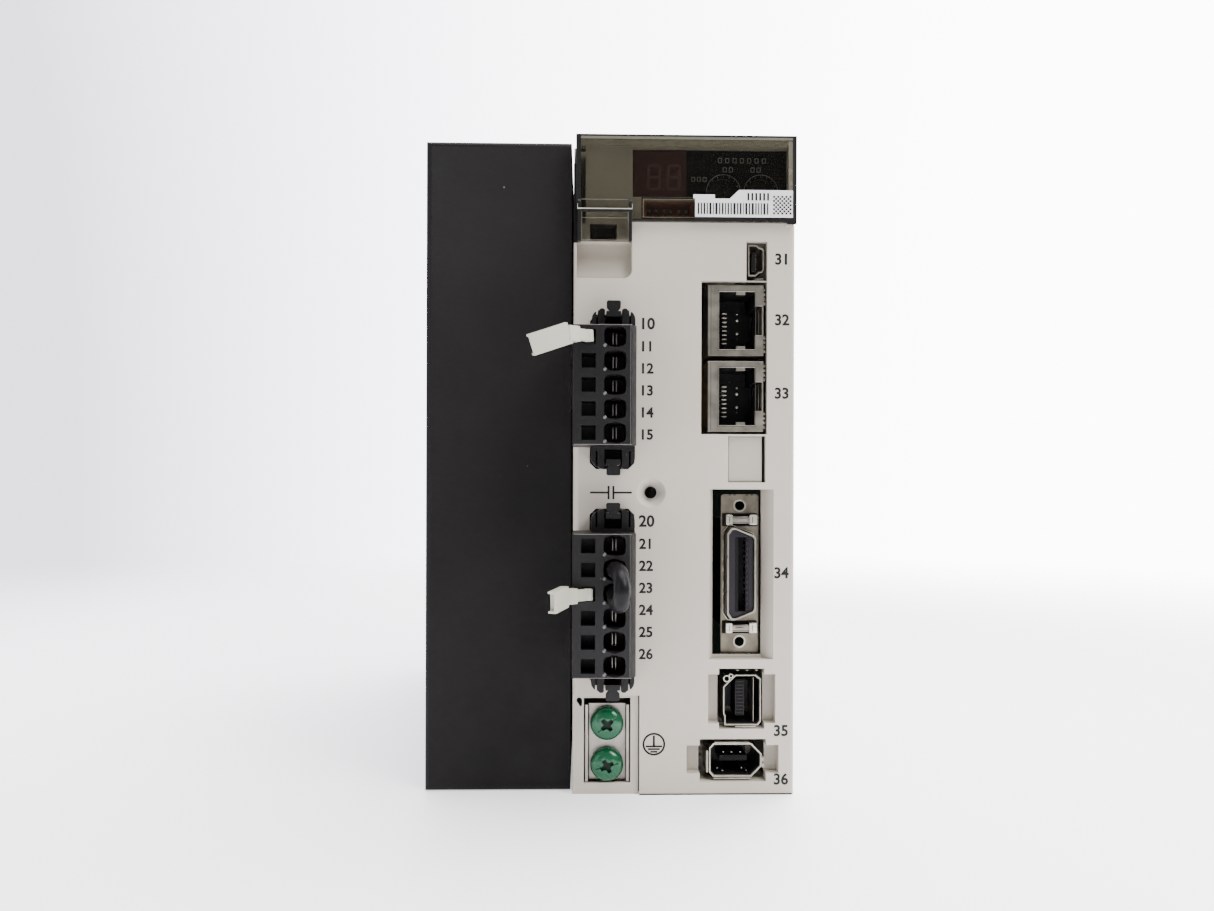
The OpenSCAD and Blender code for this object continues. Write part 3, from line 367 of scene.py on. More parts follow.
def drawn_in(points, mid, by):
    """An outline drawn in towards a middle point, as the CAD does for its thin shells."""
    return [(mid[0] + (x - mid[0]) * by[0], mid[1] + (z - mid[1]) * by[1]) for x, z in points]


def inset(points, by):
    """A counterclockwise outline drawn in by a distance, with mitred corners."""
    result = []
    for i, here in enumerate(points):
        before, after = Vector(points[i - 1]), Vector(points[(i + 1) % len(points)])
        here = Vector(here)
        a, b = (here - before).normalized(), (after - here).normalized()
        na, nb = Vector((-a.y, a.x)), Vector((-b.y, b.x))
        middle = (na + nb).normalized()
        result.append(tuple(here + middle * (by / max(0.3, middle.dot(na)))))
    return result


class Shape:
    """A mesh in the making. X and Z are in mm, and depth is in mm behind the plastic front."""

    def __init__(self):
        self.points = []
        self.faces = []

    def add(self, points, faces):
        start = len(self.points)
        self.points += points
        self.faces += [[start + i for i in face] for face in faces]
        return self

    def prism(self, outline, depth):
        n = len(outline)
        sides = [[i, (i + 1) % n, n + (i + 1) % n, n + i] for i in range(n)]
        return self.add([(x, d, z) for d in depth for x, z in outline],
                        sides + [list(range(n)), list(range(2 * n - 1, n - 1, -1))])

    def box(self, x, depth, z):
        return self.prism(rectangle(x, z), depth)

    def beam(self, x, outline):
        """An outline of (depth, z) points between two places in X."""
        n = len(outline)
        sides = [[i, (i + 1) % n, n + (i + 1) % n, n + i] for i in range(n)]
        return self.add([(at, d, z) for at in x for d, z in outline],
                        sides + [list(range(n)), list(range(2 * n - 1, n - 1, -1))])

    def ring(self, outer, hole, depth):
        """The wall between two outlines with as many points each."""
        n = len(outer)
        points = [(x, d, z) for d in depth for line in (outer, hole) for x, z in line]
        faces = []
        for i in range(n):
            j = (i + 1) % n
            faces += [[i, j, n + j, n + i], [2 * n + j, 2 * n + i, 3 * n + i, 3 * n + j],
                      [j, i, 2 * n + i, 2 * n + j], [n + i, n + j, 3 * n + j, 3 * n + i]]
        return self.add(points, faces)

    def lathe(self, x, z, profile, sides=32):
        """A profile of (radius, depth) points, turned about the line through (x, z)."""
        points, faces = [], []
        for r, d in profile:
            points += [(px, d, pz) for px, pz in circle(x, z, max(r, 0.001), sides)]
        for k in range(len(profile) - 1):
            for i in range(sides):
                j = (i + 1) % sides
                faces.append([k * sides + i, k * sides + j, (k + 1) * sides + j,
                              (k + 1) * sides + i])
        last = (len(profile) - 1) * sides
        faces += [list(range(sides)), list(range(last + sides - 1, last - 1, -1))]
        return self.add(points, faces)

    def stroke(self, places, width, depth, closed=False):
        """A printed line through (x, z) places."""
        pairs = list(zip(places, places[1:] + places[:1] if closed else places[1:]))
        for a, b in pairs:
            a, b = Vector(a), Vector(b)
            along = (b - a).normalized() * width / 2
            side = Vector((-along.y, along.x))
            self.prism([tuple(a - along - side), tuple(b + along - side),
                        tuple(b + along + side), tuple(a - along + side)], depth)
        return self

    def numeral(self, text, x, z, height, depth):
        """Plain figures, centred on (x, z)."""
        curve = bpy.data.curves.new("numeral", "FONT")
        curve.body = text
        curve.size = 1.38 * height
        curve.align_x = "CENTER"
        curve.offset = 0.04 * height
        curve.resolution_u = 4
        writer = bpy.data.objects.new("numeral", curve)
        mesh = bpy.data.meshes.new_from_object(writer)
        for d in depth:
            self.add([(x + v.co.x, d, z - height / 2 + v.co.y) for v in mesh.vertices],
                     [list(p.vertices) for p in mesh.polygons])
        bpy.data.objects.remove(writer)
        bpy.data.meshes.remove(mesh)
        return self

    def mesh(self, name):
        mesh = bpy.data.meshes.new(name)
        mesh.from_pydata([(x * MM, (FRONT + d) * MM, z * MM) for x, d, z in self.points], [],
                         self.faces)
        work = bmesh.new()
        work.from_mesh(mesh)
        bmesh.ops.recalc_face_normals(work, faces=work.faces)
        work.to_mesh(mesh)
        work.free()
        return mesh

    def make(self, name, slot, body=HOUSING, bevel=0.06, replaces=()):
        """The finished piece. slot is a record's slot or one of the scene's own materials."""
        piece = bpy.data.objects.new(name, self.mesh(name))
        bpy.context.collection.objects.link(piece)
        if isinstance(slot, str):
            piece.data.materials.append(MATERIALS[slot])
        else:
            piece.data.materials.append(slot)
        if bevel:
            soften(piece, bevel)
        if replaces:
            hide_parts(*replaces)
        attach(piece, body)
        return piece


def carve(piece, cutter):
    """Cuts a shape out of a piece that has no modifiers yet."""
    knife = bpy.data.objects.new("knife", cutter.mesh("knife"))
    bpy.context.collection.objects.link(knife)
    cut = piece.modifiers.new("cut", "BOOLEAN")
    cut.operation = "DIFFERENCE"
    cut.solver = "EXACT"
    cut.object = knife
    bpy.context.view_layer.update()
    graph = bpy.context.evaluated_depsgraph_get()
    result = bpy.data.meshes.new_from_object(piece.evaluated_get(graph))
    piece.modifiers.remove(cut)
    piece.data = result
    bpy.data.objects.remove(knife)


# ---------------------------------------------------------------- CAD nodes

EDGE_RADIUS = {
    "rear_frame": 0.4, "side_cover": 0.12, "case_shell": 0.4, "front_panel": 0.15,
    "mains_plug": 0.15, "motor_plug": 0.15, "mains_lever": 0.2, "motor_lever": 0.2,
    "earth_plate": 0.12, "network_shells": 0.12, "blank_plate": 0.15,
}


def dress_cad_nodes():
    for name, piece in NODES.items():
        piece.data.materials.clear()
        # the 26-way socket's flange gets the darker nickel copy, as painted shade
        piece.data.materials.append(NICKEL_SHADED if name == "io_flange" else MATERIALS[SLOTS[name]])
        soften(piece, EDGE_RADIUS.get(name, 0.08))


# ---------------------------------------------------------------- display

def box_mm(name):
    """A CAD node's span in X, in depth and in Z, in mm."""
    low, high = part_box(name)
    x, y, z = [(low[i] / MM, high[i] / MM) for i in range(3)]
    return x, (y[0] - FRONT, y[1] - FRONT), z


def add_display_cover():
    """The smoked cover: a clear front with a proud tab, and dark walls that reach the hinge."""
    x, _, z = box_mm("display_cover")
    x = (x[0] - 0.6, x[1])
    low, high = 130.6, z[1] - 0.5
    plate = (-1.5, -0.3)
    line = (plate[0] - 0.06, plate[0])                 # a thin line on the plate's face
    thin_line = (plate[0] - 0.04, plate[0])
    axis_depth, axis_z, barrel = 5.5, 148.3, 1.4
    tab_x, tab_low, tab_top, tab_face = (x[0] + 0.4, 4.8), 125.9, 133.3, -2.2
    tab_line = (tab_face - 0.03, tab_face)
    clear = Shape()
    clear.prism([(x[0], tab_top), (tab_x[1], tab_top), (tab_x[1], low), (x[1], low),
                 (x[1], z[1]), (x[0], z[1])], plate)
    clear.make("cover_front", "smoked_cover", "display_cover", 0.06, ["display_cover"])
    walls = Shape()
    for side in ((x[0], x[0] + 0.5), (x[1] - 0.8, x[1])):
        walls.beam(side, [(-0.28, low), (2, low), (axis_depth + barrel, 146.5),
                          (axis_depth + barrel, high), (-0.28, high)])
    walls.make("cover_walls", SMOKED_EDGE, "display_cover", 0.1)
    roof = Shape()
    roof.box((x[0] + 0.5, x[1] - 0.8), (-0.28, axis_depth), (high - 0.3, high))
    roof.box((x[0] + 0.5, x[0] + 2.4), (axis_depth - 0.1, axis_depth + barrel), (high - 0.8, high))
    roof.beam((x[0] + 3.5, x[1] - 3.5), circle(axis_depth, axis_z, barrel, 20))
    roof.make("cover_roof", SMOKED_ROOF, "display_cover", 0.1)
    tab = Shape()
    tab.beam((tab_x[0] + 0.7, tab_x[1] - 0.7),
             [(tab_face, tab_low), (-1, tab_low), (-1, tab_top), (tab_face, tab_top)])
    tab.make("cover_tab", "smoked_cover", "display_cover", 0.1)
    cheeks = Shape()
    for side in ((tab_x[0], tab_x[0] + 0.75), (tab_x[1] - 0.75, tab_x[1])):
        cheeks.beam(side, [(tab_face, tab_low), (plate[1], tab_low), (plate[1], 130.9),
                           (-1.55, 131.1), (-1.55, 135.5), (-2, 135), (tab_face, tab_top)])
    cheeks.box((tab_x[0] + 0.7, tab_x[1] - 0.2), (-2.24, -2.0), (132.4, 133.0))
    cheeks.make("cover_tab_sides", BLACK_EDGE, "display_cover", 0.1)
    hook = Shape()
    hook.box((-4.2, 0.9), (-0.3, 3), (127.4, 129.2))
    hook.box((-4.2, 0.9), (2.2, 3), (126.8, 128))
    hook.make("cover_hook", SMOKED_EDGE, "display_cover", 0.1)
    glints = Shape()
    glints.box((tab_x[0] - 0.1, tab_x[1] + 0.05), (-2.27, -2.18), (133.02, 133.27))
    for at, s in ((tab_x[0] + 0.05, 1), (tab_x[1] - 0.05, -1)):
        glints.stroke([(at, 133.15), (at - s * 0.12, 133.6), (at - s * 0.05, 134.2)], 0.13,
                      (-2.24, -2.0))
    glints.make("cover_glints", PALE_RIM, "display_cover", 0.03)
    # faint light lines under the cover's top rim and along the tab's fold and edges: painted
    # highlights
    faint = Shape()
    across_tab = (tab_x[0] + 0.9, tab_x[1] - 0.9)
    faint.box(across_tab, (plate[0] - 0.03, plate[0]), (135.35, 135.5))
    faint.box(across_tab, tab_line, (131.0, 131.12))
    faint.box(across_tab, tab_line, (125.95, 126.1))
    for at in (tab_x[0] + 0.85, tab_x[1] - 0.95):
        faint.box((at, at + 0.1), tab_line, (126, 132.4))
    inner = (x[0] + 1.1, x[1] - 0.9)                   # between the rims at the two sides
    faint.box(inner, thin_line, (z[1] - 1.07, z[1] - 0.42))
    faint.make("cover_faint_edges", OLIVE_LINE, "display_cover", 0.02)
    # a light band inside the right rim: painted highlight
    Shape().box((x[1] - 1.9, inner[1]), thin_line, (low + 0.9, z[1] - 1.3)).make(
        "cover_side_glow", EDGE_GLOW, "display_cover", 0.02)
    # black bands along the cover's top, sides and foot: painted shade of its walls and edges seen
    # through the clear front
    rims = Shape()
    label_left = 19.1
    rims.box((x[0], inner[0]), line, (tab_top, z[1]))
    rims.box((inner[1], x[1]), line, (low, z[1]))
    rims.box(inner, line, (z[1] - 0.42, z[1]))
    rims.box(inner, line, (z[1] - 1.15, z[1] - 1.07))
    rims.box((tab_x[1], label_left), line, (low, low + 0.5))
    rims.box((label_left, inner[1]), line, (low, low + 0.9))
    rims.box((x[1] - 2.2, x[1] - 0.02), line, (low - 0.5, low + 0.1))
    rims.make("cover_rims", BLACK_EDGE, "display_cover", 0)


def add_label():
    """Bars and a chequered square on the blank label, and the low step on its upper left edge."""
    depth = box_mm("cover_label")[1]
    film = (depth[0] - 0.03, depth[0] - 0.005)
    marks = Shape()
    widths, gap = (0.5, 0.3, 0.38, 0.26, 0.46, 0.3), 0.34
    at = 19.7
    for i in range(24):
        width = widths[i % len(widths)] * (1.0 if i % 5 else 0.7)
        marks.box((at, at + width), film, (132.2, 134.8))
        at += width + gap
    short_pitch = 0.9
    for i in range(6):
        marks.box((31 + i * short_pitch, 31.42 + i * short_pitch), film, (135.4, 137.1))
    cell, cells, corner = 0.47, 9, (36.85, 132.3)
    for i in range(cells):
        for k in range(cells):
            if (i + k) % 2 == 0:
                low_x, low_z = corner[0] + i * cell, corner[1] + k * cell
                marks.box((low_x, low_x + cell * 0.95), film, (low_z, low_z + cell * 0.95))
    marks.make("label_marks", INK, "display_cover", 0)
    Shape().box((18.7, 23.6), (depth[0], depth[1]), (135.8, 136.7)).make(
        "label_tab", "paper_label", "display_cover", 0.03)


SEGMENTS = {  # seven-segment digit in a unit box: ((x0, z0), (x1, z1))
    "a": ((0, 1), (1, 1)), "b": ((1, 1), (1, 0.5)), "c": ((1, 0.5), (1, 0)),
    "d": ((0, 0), (1, 0)), "e": ((0, 0.5), (0, 0)), "f": ((0, 1), (0, 0.5)),
    "g": ((0, 0.5), (1, 0.5)),
}


def add_display():
    """The film behind the cover: filter, unlit digits, dial rings, captions, monitor pocket."""
    plate = box_mm("display_plate")
    face = plate[1][0]
    film = (face - 0.04, face - 0.01)
    Shape().box((plate[0][0] + 0.05, 17.3), (face - 0.06, face - 0.045),
                (136.65, plate[2][1] - 0.05)).make("digit_filter", RED_FILTER, bevel=0)
    digits, foot, wide, tall, slant = Shape(), 138.3, 2.6, 5.4, 0.2
    lit_film = (face - 0.09, face - 0.065)
    for left in (8.5, 13.0):
        for ends in SEGMENTS.values():
            a, b = [Vector((left + x * wide + z * slant, foot + z * tall)) for x, z in ends]
            along = (b - a).normalized() * 0.42
            digits.stroke([tuple(a + along), tuple(b - along)], 0.68, lit_film)
        digits.prism(circle(left + 3.5, 138.2, 0.28, 12), lit_film)
    digits.make("unlit_digits", UNLIT_SEGMENT, bevel=0)
    marks = Shape()
    ticks = 16
    for dial in ("rotary_dial_1", "rotary_dial_2"):
        span_x, _, span_z = box_mm(dial)
        x, z = sum(span_x) / 2, sum(span_z) / 2
        marks.ring(circle(x, z, 3.98, 40), circle(x, z, 3.8, 40), film)
        for i in range(ticks):
            a = math.radians(360 / ticks * i)
            marks.stroke([(x + 3.3 * math.cos(a), z + 3.3 * math.sin(a)),
                          (x + 3.6 * math.cos(a), z + 3.6 * math.sin(a))], 0.14, film)
    # rows of blocks where the film carries its captions
    for places, low_z, high_z in (([24.5 + 1.68 * i for i in range(7)], 144.4, 145.6),
                                  ([25.6, 27.0, 32.0, 33.4], 142.3, 143.5),
                                  ([18.4, 19.7, 21.0], 140.1, 141.2)):
        for at in places:
            line = rectangle((at, at + 0.95), (low_z, high_z), 0.2)
            marks.ring(line, inset(line, 0.2), film)
    marks.make("display_marks", FAINT_INK, bevel=0)
    pocket, edge, on_panel = Shape(), 0.27, (-0.06, 0.02)
    outline = rectangle((7.05, 20.8), (131.45, 136.35))
    pocket.ring(inset(outline, edge), inset(outline, 0.5), on_panel)
    pocket.make("monitor_frame", PALE_LINE, bevel=0.02)
    shadow = Shape()
    shadow.ring(outline, inset(outline, edge), on_panel)
    shadow.box((-8.42, -7.3), (-0.06, -0.01), (125.9, 143.9))
    shadow.make("cover_shadows", SEAM, bevel=0)


# ---------------------------------------------------------------- printed marks

def add_printed_marks():
    """Plain numbers beside the terminals and ports, a capacitor and the earth symbol."""
    film = (-0.03, -0.005)
    marks, row_pitch = Shape(), 5.03
    for poles, first, tens in ((5, 102.45, 1), (6, 57.4, 2)):
        marks.numeral(str(10 * tens), 8.4, first + 5.2, 2.6, film)
        for i in range(poles):
            marks.numeral(str(10 * tens + i + 1), 8.3, first - row_pitch * i, 2.35, film)
    for i, z in enumerate((122.6, 108.7, 91.9, 50.8, 14.7, 3.6)):
        marks.numeral(str(31 + i), 39.3, z, 2.5, film)
    # a capacitor beside the charge lamp
    lamp_z, plates, plate_z = 69, (-0.3, 0.8), (67.7, 70.3)
    for line in ([(-4.3, lamp_z), (plates[0], lamp_z)], [(plates[0], z) for z in plate_z],
                 [(plates[1], z) for z in plate_z], [(plates[1], lamp_z), (4.8, lamp_z)]):
        marks.stroke(line, 0.44, film)
    # protective earth
    x, z, first_bar, bar_pitch = 10.2, 11.6, 0.5, 0.62
    marks.ring(circle(x, z, 2.6, 48), circle(x, z, 2.16, 48), film)
    marks.stroke([(x, z + 1.75), (x, z - first_bar)], 0.46, film)
    for i, half in enumerate((1.7, 1.15, 0.6)):
        bar_z = z - first_bar - bar_pitch * i
        marks.stroke([(x - half, bar_z), (x + half, bar_z)], 0.4, film)
    marks.make("printed_marks", INK, bevel=0)


# ---------------------------------------------------------------- ports

def add_network_details():
    """Spring fingers, painted shade lines at the edges, and contact tips of the two network sockets.
    """
    shells = box_mm("network_shells")
    height = 16.2
    left, right = shells[0]
    face = shells[1][0]
    face_line = (face - 0.02, face - 0.005)
    mouth_x, mouth_half = (24.7, 33.35), 6.85
    for name, low in (("upper", shells[2][1] - height), ("lower", shells[2][0])):
        mid = low + height / 2
        trim = Shape()
        for s in (-1, 1):
            z = sorted((mid + s * 6.65, mid + s * 5.9))
            trim.box((28.9, 31), (face + 0.02, face + 1.8), z)
            for i in range(4):
                z = mid + s * (3.9 + i * 1.05)
                trim.box((right - 0.02, right + 0.38), (face + 0.1, face + 1.2),
                         (z - 0.28, z + 0.28))
        trim.box((34.45, 34.6), (3, 12), (mid - 3.2, mid + 3.2))
        trim.make("network_trim_" + name, "nickel_shell", bevel=0.05)
        # dark lines at the shell's left edge and round its mouth: painted shade
        lines = Shape()
        lines.box((left + 0.62, left + 0.74), face_line, (low + 0.2, low + height - 0.2))
        lines.stroke(rectangle(mouth_x, (mid - mouth_half, mid + mouth_half)), 0.09, face_line,
                     closed=True)
        lines.box((33.36, 33.45), face_line, (mid + 3.35, mid + 6.8))
        lines.make("network_lines_" + name, DARK_LINE, bevel=0)
        pins = Shape()
        for dz, r in ((2.65, 0.27), (1.2, 0.38), (-1.95, 0.38), (-3.3, 0.24)):
            pins.lathe(30.2, mid + dz, [(0, 7.6), (r * 0.7, 7.7), (r, 8), (r, 8.5)], 14)
        pins.make("network_pins_" + name, NICKEL_LIT, bevel=0)


def add_usb_details():
    """The lower lip and the five contacts of the USB socket."""
    trim, contact_pitch = Shape(), 0.8
    trim.box((33.1, 35.2), (0.9, 5), (118.0, 118.2))
    for i in range(5):
        z = 120.5 + i * contact_pitch
        trim.box((33.55, 33.75), (2.3, 8), (z, z + 0.3))
    trim.make("usb_trim", "nickel_shell", bevel=0.03)


def add_io_details():
    """Bails, screw rings, edge notches and the layered shell of the 26-way socket."""
    _, flange_y, flange_z = box_mm("io_flange")
    face = flange_y[0]
    bails, blocks, shadows = Shape(), Shape(), Shape()
    for low in (36.3, 61.3):
        shadows.box((26.3, 34.4), (face - 0.06, face - 0.01), (low - 0.1, low + 2.9))
        for span_x in ((26.9, 28.5), (32.3, 34.2)):
            blocks.prism(rectangle(span_x, (low + 0.25, low + 2.65), 0.3), (face - 2.4, face))
        bails.box((28.3, 32.4), (face - 2.1, face - 0.9), (low + 0.55, low + 2.2))
        bails.box((29.2, 31.6), (face - 2.35, face - 2), (low + 1.2, low + 1.6))
        for x in (27.7, 33.0):
            shadows.box((x, x + 0.13), (face - 2.46, face - 2.41), (low + 0.7, low + 2.1))
        for z in (low + 0.78, low + 1.86):
            shadows.box((28.5, 32.2), (face - 2.14, face - 2.11), (z, z + 0.1))
    bails.make("io_bails", "nickel_shell", bevel=0.15, replaces=["io_latches"])
    # the bail ends carry painted highlights
    blocks.make("io_bail_ends", NICKEL_LIT, bevel=0.18)
    for z, s in ((flange_z[0], 1), (flange_z[1], -1)):
        for x in (27.9, 29.0, 31.9, 33.0):
            shadows.box((x, x + 0.45), (face - 0.05, face - 0.01), sorted((z, z + s * 0.35)))
    shadows.make("io_shadows", SEAM, bevel=0)
    rings = Shape()
    for z in (34.3, 66.0):
        rings.ring(circle(30.4, z, 1.5, 28), circle(30.4, z, 1.12, 28), (face - 0.14, face + 0.1))
    rings.make("io_screw_rings", NICKEL_HALF_LIT, bevel=0.04)
    # the shell: painted highlights on its mouth and foot, a painted dark reflection on its outer
    # sides, and painted shadow lines between its layers
    outline = [(27, 41.1), (27.9, 39.8), (28.8, 39.8), (33.2, 41.5), (33.6, 42.1), (33.6, 58.6),
               (33.2, 59.2), (28.8, 60.9), (27.9, 60.9), (27, 59.6)]
    middle_z, contact_pitch, contacts = 50.35, 1.27, 13
    mouth = drawn_in(outline, (30.3, middle_z), (0.88, 0.963))
    Shape().ring(inset(outline, -0.1), inset(outline, -0.01), (0.75, face - 0.02)).make(
        "io_shell_sides", SIDE_REFLECTION, bevel=0)
    Shape().ring(inset(outline, -0.5), inset(outline, -0.36), (face - 0.12, face - 0.01)).make(
        "io_shell_foot", NICKEL_LIT, bevel=0.03)
    lines = Shape()
    lines.ring(inset(outline, -0.36), inset(outline, -0.12), (face - 0.06, face - 0.01))
    lines.ring(inset(mouth, 0.02), inset(mouth, 0.17), (1.32, 1.39))
    for i in range(contacts):
        z = middle_z + (i - contacts // 2) * contact_pitch
        lines.prism(circle(31.5, z, 0.33, 12), (1.3, 1.39))
    lines.make("io_shell_lines", SEAM, bevel=0)
    Shape().ring(outline, inset(outline, 0.16), (0.52, 0.59)).make(
        "io_shell_lip", NICKEL_HALF_LIT, bevel=0.02)
    slot_z = (41.8, 58.7)
    Shape().box((31.35, 31.99), (1.42, 2.3), slot_z).make("io_comb", "slate_plastic")
    Shape().box((28.9, 29.6), (1.33, 2.3), slot_z).make("io_slot_shadow", SEAM, bevel=0)


def add_small_port_details():
    """Fittings of the two lowest sockets, whose shells are lined with black plastic."""
    scale = [(26.5, 15.7), (34.1, 15.7), (34.8, 16.5), (34.8, 26.3), (33.6, 27.2), (29, 27.2),
             (26.2, 24.5), (26.2, 18.2), (26.5, 17.8)]
    encoder = [(23.9, 3.9), (32.7, 3.9), (35, 6.3), (35, 9.1), (32.7, 11.5), (23.9, 11.5),
               (23, 10.5), (23, 4.9)]
    shells = ((scale, (30.6, 21.5), (0.94, 0.955)), (encoder, (28.8, 7.7), (0.95, 0.91)))
    lining = Shape()
    for outline, mid, by in shells:
        outer = drawn_in(outline, mid, (by[0] - 0.004, by[1] - 0.004))
        lining.ring(outer, drawn_in(outer, mid, (0.975, 0.975)), (1.3, 12.9))
    lining.make("port_lining", "black_plastic", bevel=0)
    ribs = Shape()
    face, rib_pitch = box_mm("scale_insert")[1][0], 0.8
    for i in range(10):
        z = 18.1 + i * rib_pitch
        ribs.box((29.3, 31.0), (face - 0.14, face), (z, z + 0.22))
    for x in (29.15, 31.0):
        ribs.box((x, x + 0.12), (face - 0.14, face), (17.8, 25.7))
    ribs.make("scale_ribs", RIB_FAINT, bevel=0.02)
    tongues = Shape()
    tongues.box((29.12, 31.18), (face - 0.03, face - 0.005), (17.62, 25.88))
    tongues.box((25.52, 31.88), (face - 0.03, face - 0.005), (7.22, 8.38))
    tongues.make("tongue_fronts", SEAM, bevel=0)
    lips = Shape()
    # bright rings round the shells' mouths and holes: painted highlights
    for outline, mid, by in shells:
        lips.ring(outline, drawn_in(outline, mid, ((2 + by[0]) / 3, (2 + by[1]) / 3)), (0.8, 0.89))
    lips.ring(circle(26.95, 26.35, 0.8, 18), circle(26.95, 26.35, 0.58, 18), (0.8, 4))
    lips.ring(circle(27.95, 27.0, 0.52, 16), circle(27.95, 27.0, 0.34, 16), (0.8, 4))
    lips.make("small_port_lips", NICKEL_LIT, bevel=0.02)
    trim = Shape()
    trim.box((33.15, 33.3), (1.6, 9), (16.3, 26.5))
    trim.box((28.9, 33.7), (0.8, 6), (15.15, 15.5))
    for x in (29.3, 31.5, 33.7):
        trim.box((x, x + 0.5), (1.5, 4), (28.05, 28.3))
    trim.box((22.3, 22.8), (1.1, 8), (4.8, 9.8))
    trim.box((24, 32.5), (0.8, 6), (3.3, 3.65))
    trim.box((24.2, 32.3), (0.8, 6), (11.6, 11.85))
    trim.box((35.1, 35.6), (1.0, 8), (5.9, 7.0))
    trim.box((35.1, 35.6), (1.0, 8), (7.25, 8.4))
    for x in (26.3, 28.2, 30.2):
        trim.box((x, x + 0.35), (2.6, 4), (8.95, 9.2))
    for x, z in ((24.9, 5.3), (26.1, 4.7), (30.5, 5.3), (31.6, 4.7)):
        trim.box((x, x + 0.35), (2.4, 9), (z, z + 0.22))
    trim.make("small_port_trim", "nickel_shell", bevel=0.04)


def add_earth_screws():
    """Pan-head screws with a worn cross recess and painted shade at its bottom, and painted shade
    lines for the grooves at the sides of their plate.
    """
    x_span, depth, z_span = box_mm("earth_screws")
    x = sum(x_span) / 2
    r = (x_span[1] - x_span[0]) / 2
    top = depth[0]
    recess = Shape()
    for name, z, turn, scar in (("upper", z_span[1] - r, 40, 38), ("lower", z_span[0] + r, 28, 14)):
        head = Shape().lathe(x, z, [(0, top), (1.5, top + 0.08), (2.5, top + 0.28),
                                    (3.1, top + 0.55), (3.5, top + 0.95), (3.7, top + 1.4),
                                    (r, top + 1.9), (r, 3.1), (1.6, 3.1), (1.6, 11)], 48)
        arms = []
        for k in range(4):
            a = math.radians(90 * k + turn)
            for across, along in ((-0.55, 0.65), (-0.42, 1.6), (0.42, 1.6), (0.55, 0.65)):
                arms.append((x + along * math.cos(a) - across * math.sin(a),
                             z + along * math.sin(a) + across * math.cos(a)))
        a = math.radians(scar)
        reach = Vector((math.cos(a), math.sin(a))) * 2.6
        piece = bpy.data.objects.new("earth_screw_" + name, head.mesh("earth_screw_" + name))
        bpy.context.collection.objects.link(piece)
        carve(piece, Shape().prism(arms, (top - 1, top + 1.9)))
        carve(piece, Shape().stroke([(x - reach.x, z - reach.y), (x + reach.x, z + reach.y)],
                                    0.32, (top - 1, top + 0.55)))
        piece.data.materials.clear()
        piece.data.materials.append(MATERIALS["green_screw"])
        soften(piece, 0.1, 2, 30)
        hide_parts("earth_screws")
        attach(piece, HOUSING)
        # a dark plate low in each cross recess: painted shade
        recess.prism(drawn_in(arms, (x, z), (0.96, 0.96)), (top + 1.2, top + 1.3))
    recess.make("earth_recesses", CROSS_SHADE, bevel=0)
    # dark lines in the plate's side grooves, and one along the step of the recessed corner that
    # holds the plate: painted shade
    grooves = Shape()
    plate_x, _, plate_z = box_mm("earth_plate")
    for at in (plate_x[0] + 0.75, plate_x[1] - 0.85):
        grooves.box((at, at + 0.2), (3.0, 3.08), (plate_z[0], plate_z[1]))
    grooves.box((6.62, 6.88), (0.84, 0.89), (0.6, 22.6))
    grooves.make("earth_grooves", DARK_LINE, bevel=0)


def add_seams():
    """Thin shadow lines: beside the black sheet, under the panel and along the finger scoop."""
    sheet_x, sheet_depth, _ = box_mm("side_cover")
    seams = Shape()
    seams.box((sheet_x[1] - 0.45, sheet_x[1]), (sheet_depth[0] - 0.03, sheet_depth[0] - 0.005),
              (2, 140))
    seams.box((6.9, 41.9), (-0.04, 0.3), (0.0, 0.26))
    seams.make("seams", SEAM, bevel=0)
    corner, radius = (3.1, 119.8), 1.8
    scoop = [(-7.4, 118), (3.1, 118)] + [
        (corner[0] + radius * math.cos(math.radians(a)),
         corner[1] + radius * math.sin(math.radians(a))) for a in range(-80, 1, 20)] + [(4.9, 126)]
    Shape().stroke(scoop, 0.16, (-0.02, -0.004)).make("scoop_line", SOFT_LINE, bevel=0)
    gap = Shape()
    gap.box((26.9, 27.35), (0.95, 1.1), (71.4, 82))
    gap.box((27.2, 34.9), (0.95, 1.1), (81.7, 82.05))
    gap.box((27.2, 34.9), (0.95, 1.1), (71.35, 71.7))
    gap.make("blank_plate_bed", "blank_plastic", bevel=0)
    Shape().box((39.9, 41.6), (-0.28, -0.02), (129.9, 130.58)).make(
        "panel_corner_lip", "cream_plastic", bevel=0.02)


# ---------------------------------------------------------------- plugs

def add_plug_details():
    """Painted highlights along the blocks' edges, and test points of the two plugs."""
    clamp_half = 1.3
    for name, poles in (("mains", 5), ("motor", 6)):
        node_name = name + "_plug"
        x, depth, _ = box_mm(node_name)
        face = depth[0]
        clamp_z = box_mm(name + "_clamps")[2]
        first = clamp_z[1] - clamp_half
        pitch = (clamp_z[1] - clamp_z[0] - 2 * clamp_half) / (poles - 1)
        mid = (clamp_z[0] + clamp_z[1]) / 2
        half = poles * pitch / 2
        # thin strips along the block's top, bottom and right edges: painted highlights
        lips = Shape()
        for s in (-1, 1):
            edge = mid + s * half
            lips.box((x[0] + 0.3, 4.2), (face - 0.05, face + 0.3), sorted((edge, edge - s * 0.14)))
        lips.box((3.85, 3.93), (face - 0.03, face + 0.2), (mid - half, mid + half))
        lips.make(name + "_plug_lips", PLUG_HIGHLIGHT, node_name, 0.03)
        dots = Shape()
        for i in range(poles):
            z = first - i * pitch - 1.9
            dots.lathe(-1.6, z, [(0, face - 0.03), (0.3, face + 0.02), (0.5, face + 0.2),
                                 (0.5, face + 1)], 14)
        dots.make(name + "_probe_points", PROBE, node_name, 0)


# ---------------------------------------------------------------- stage

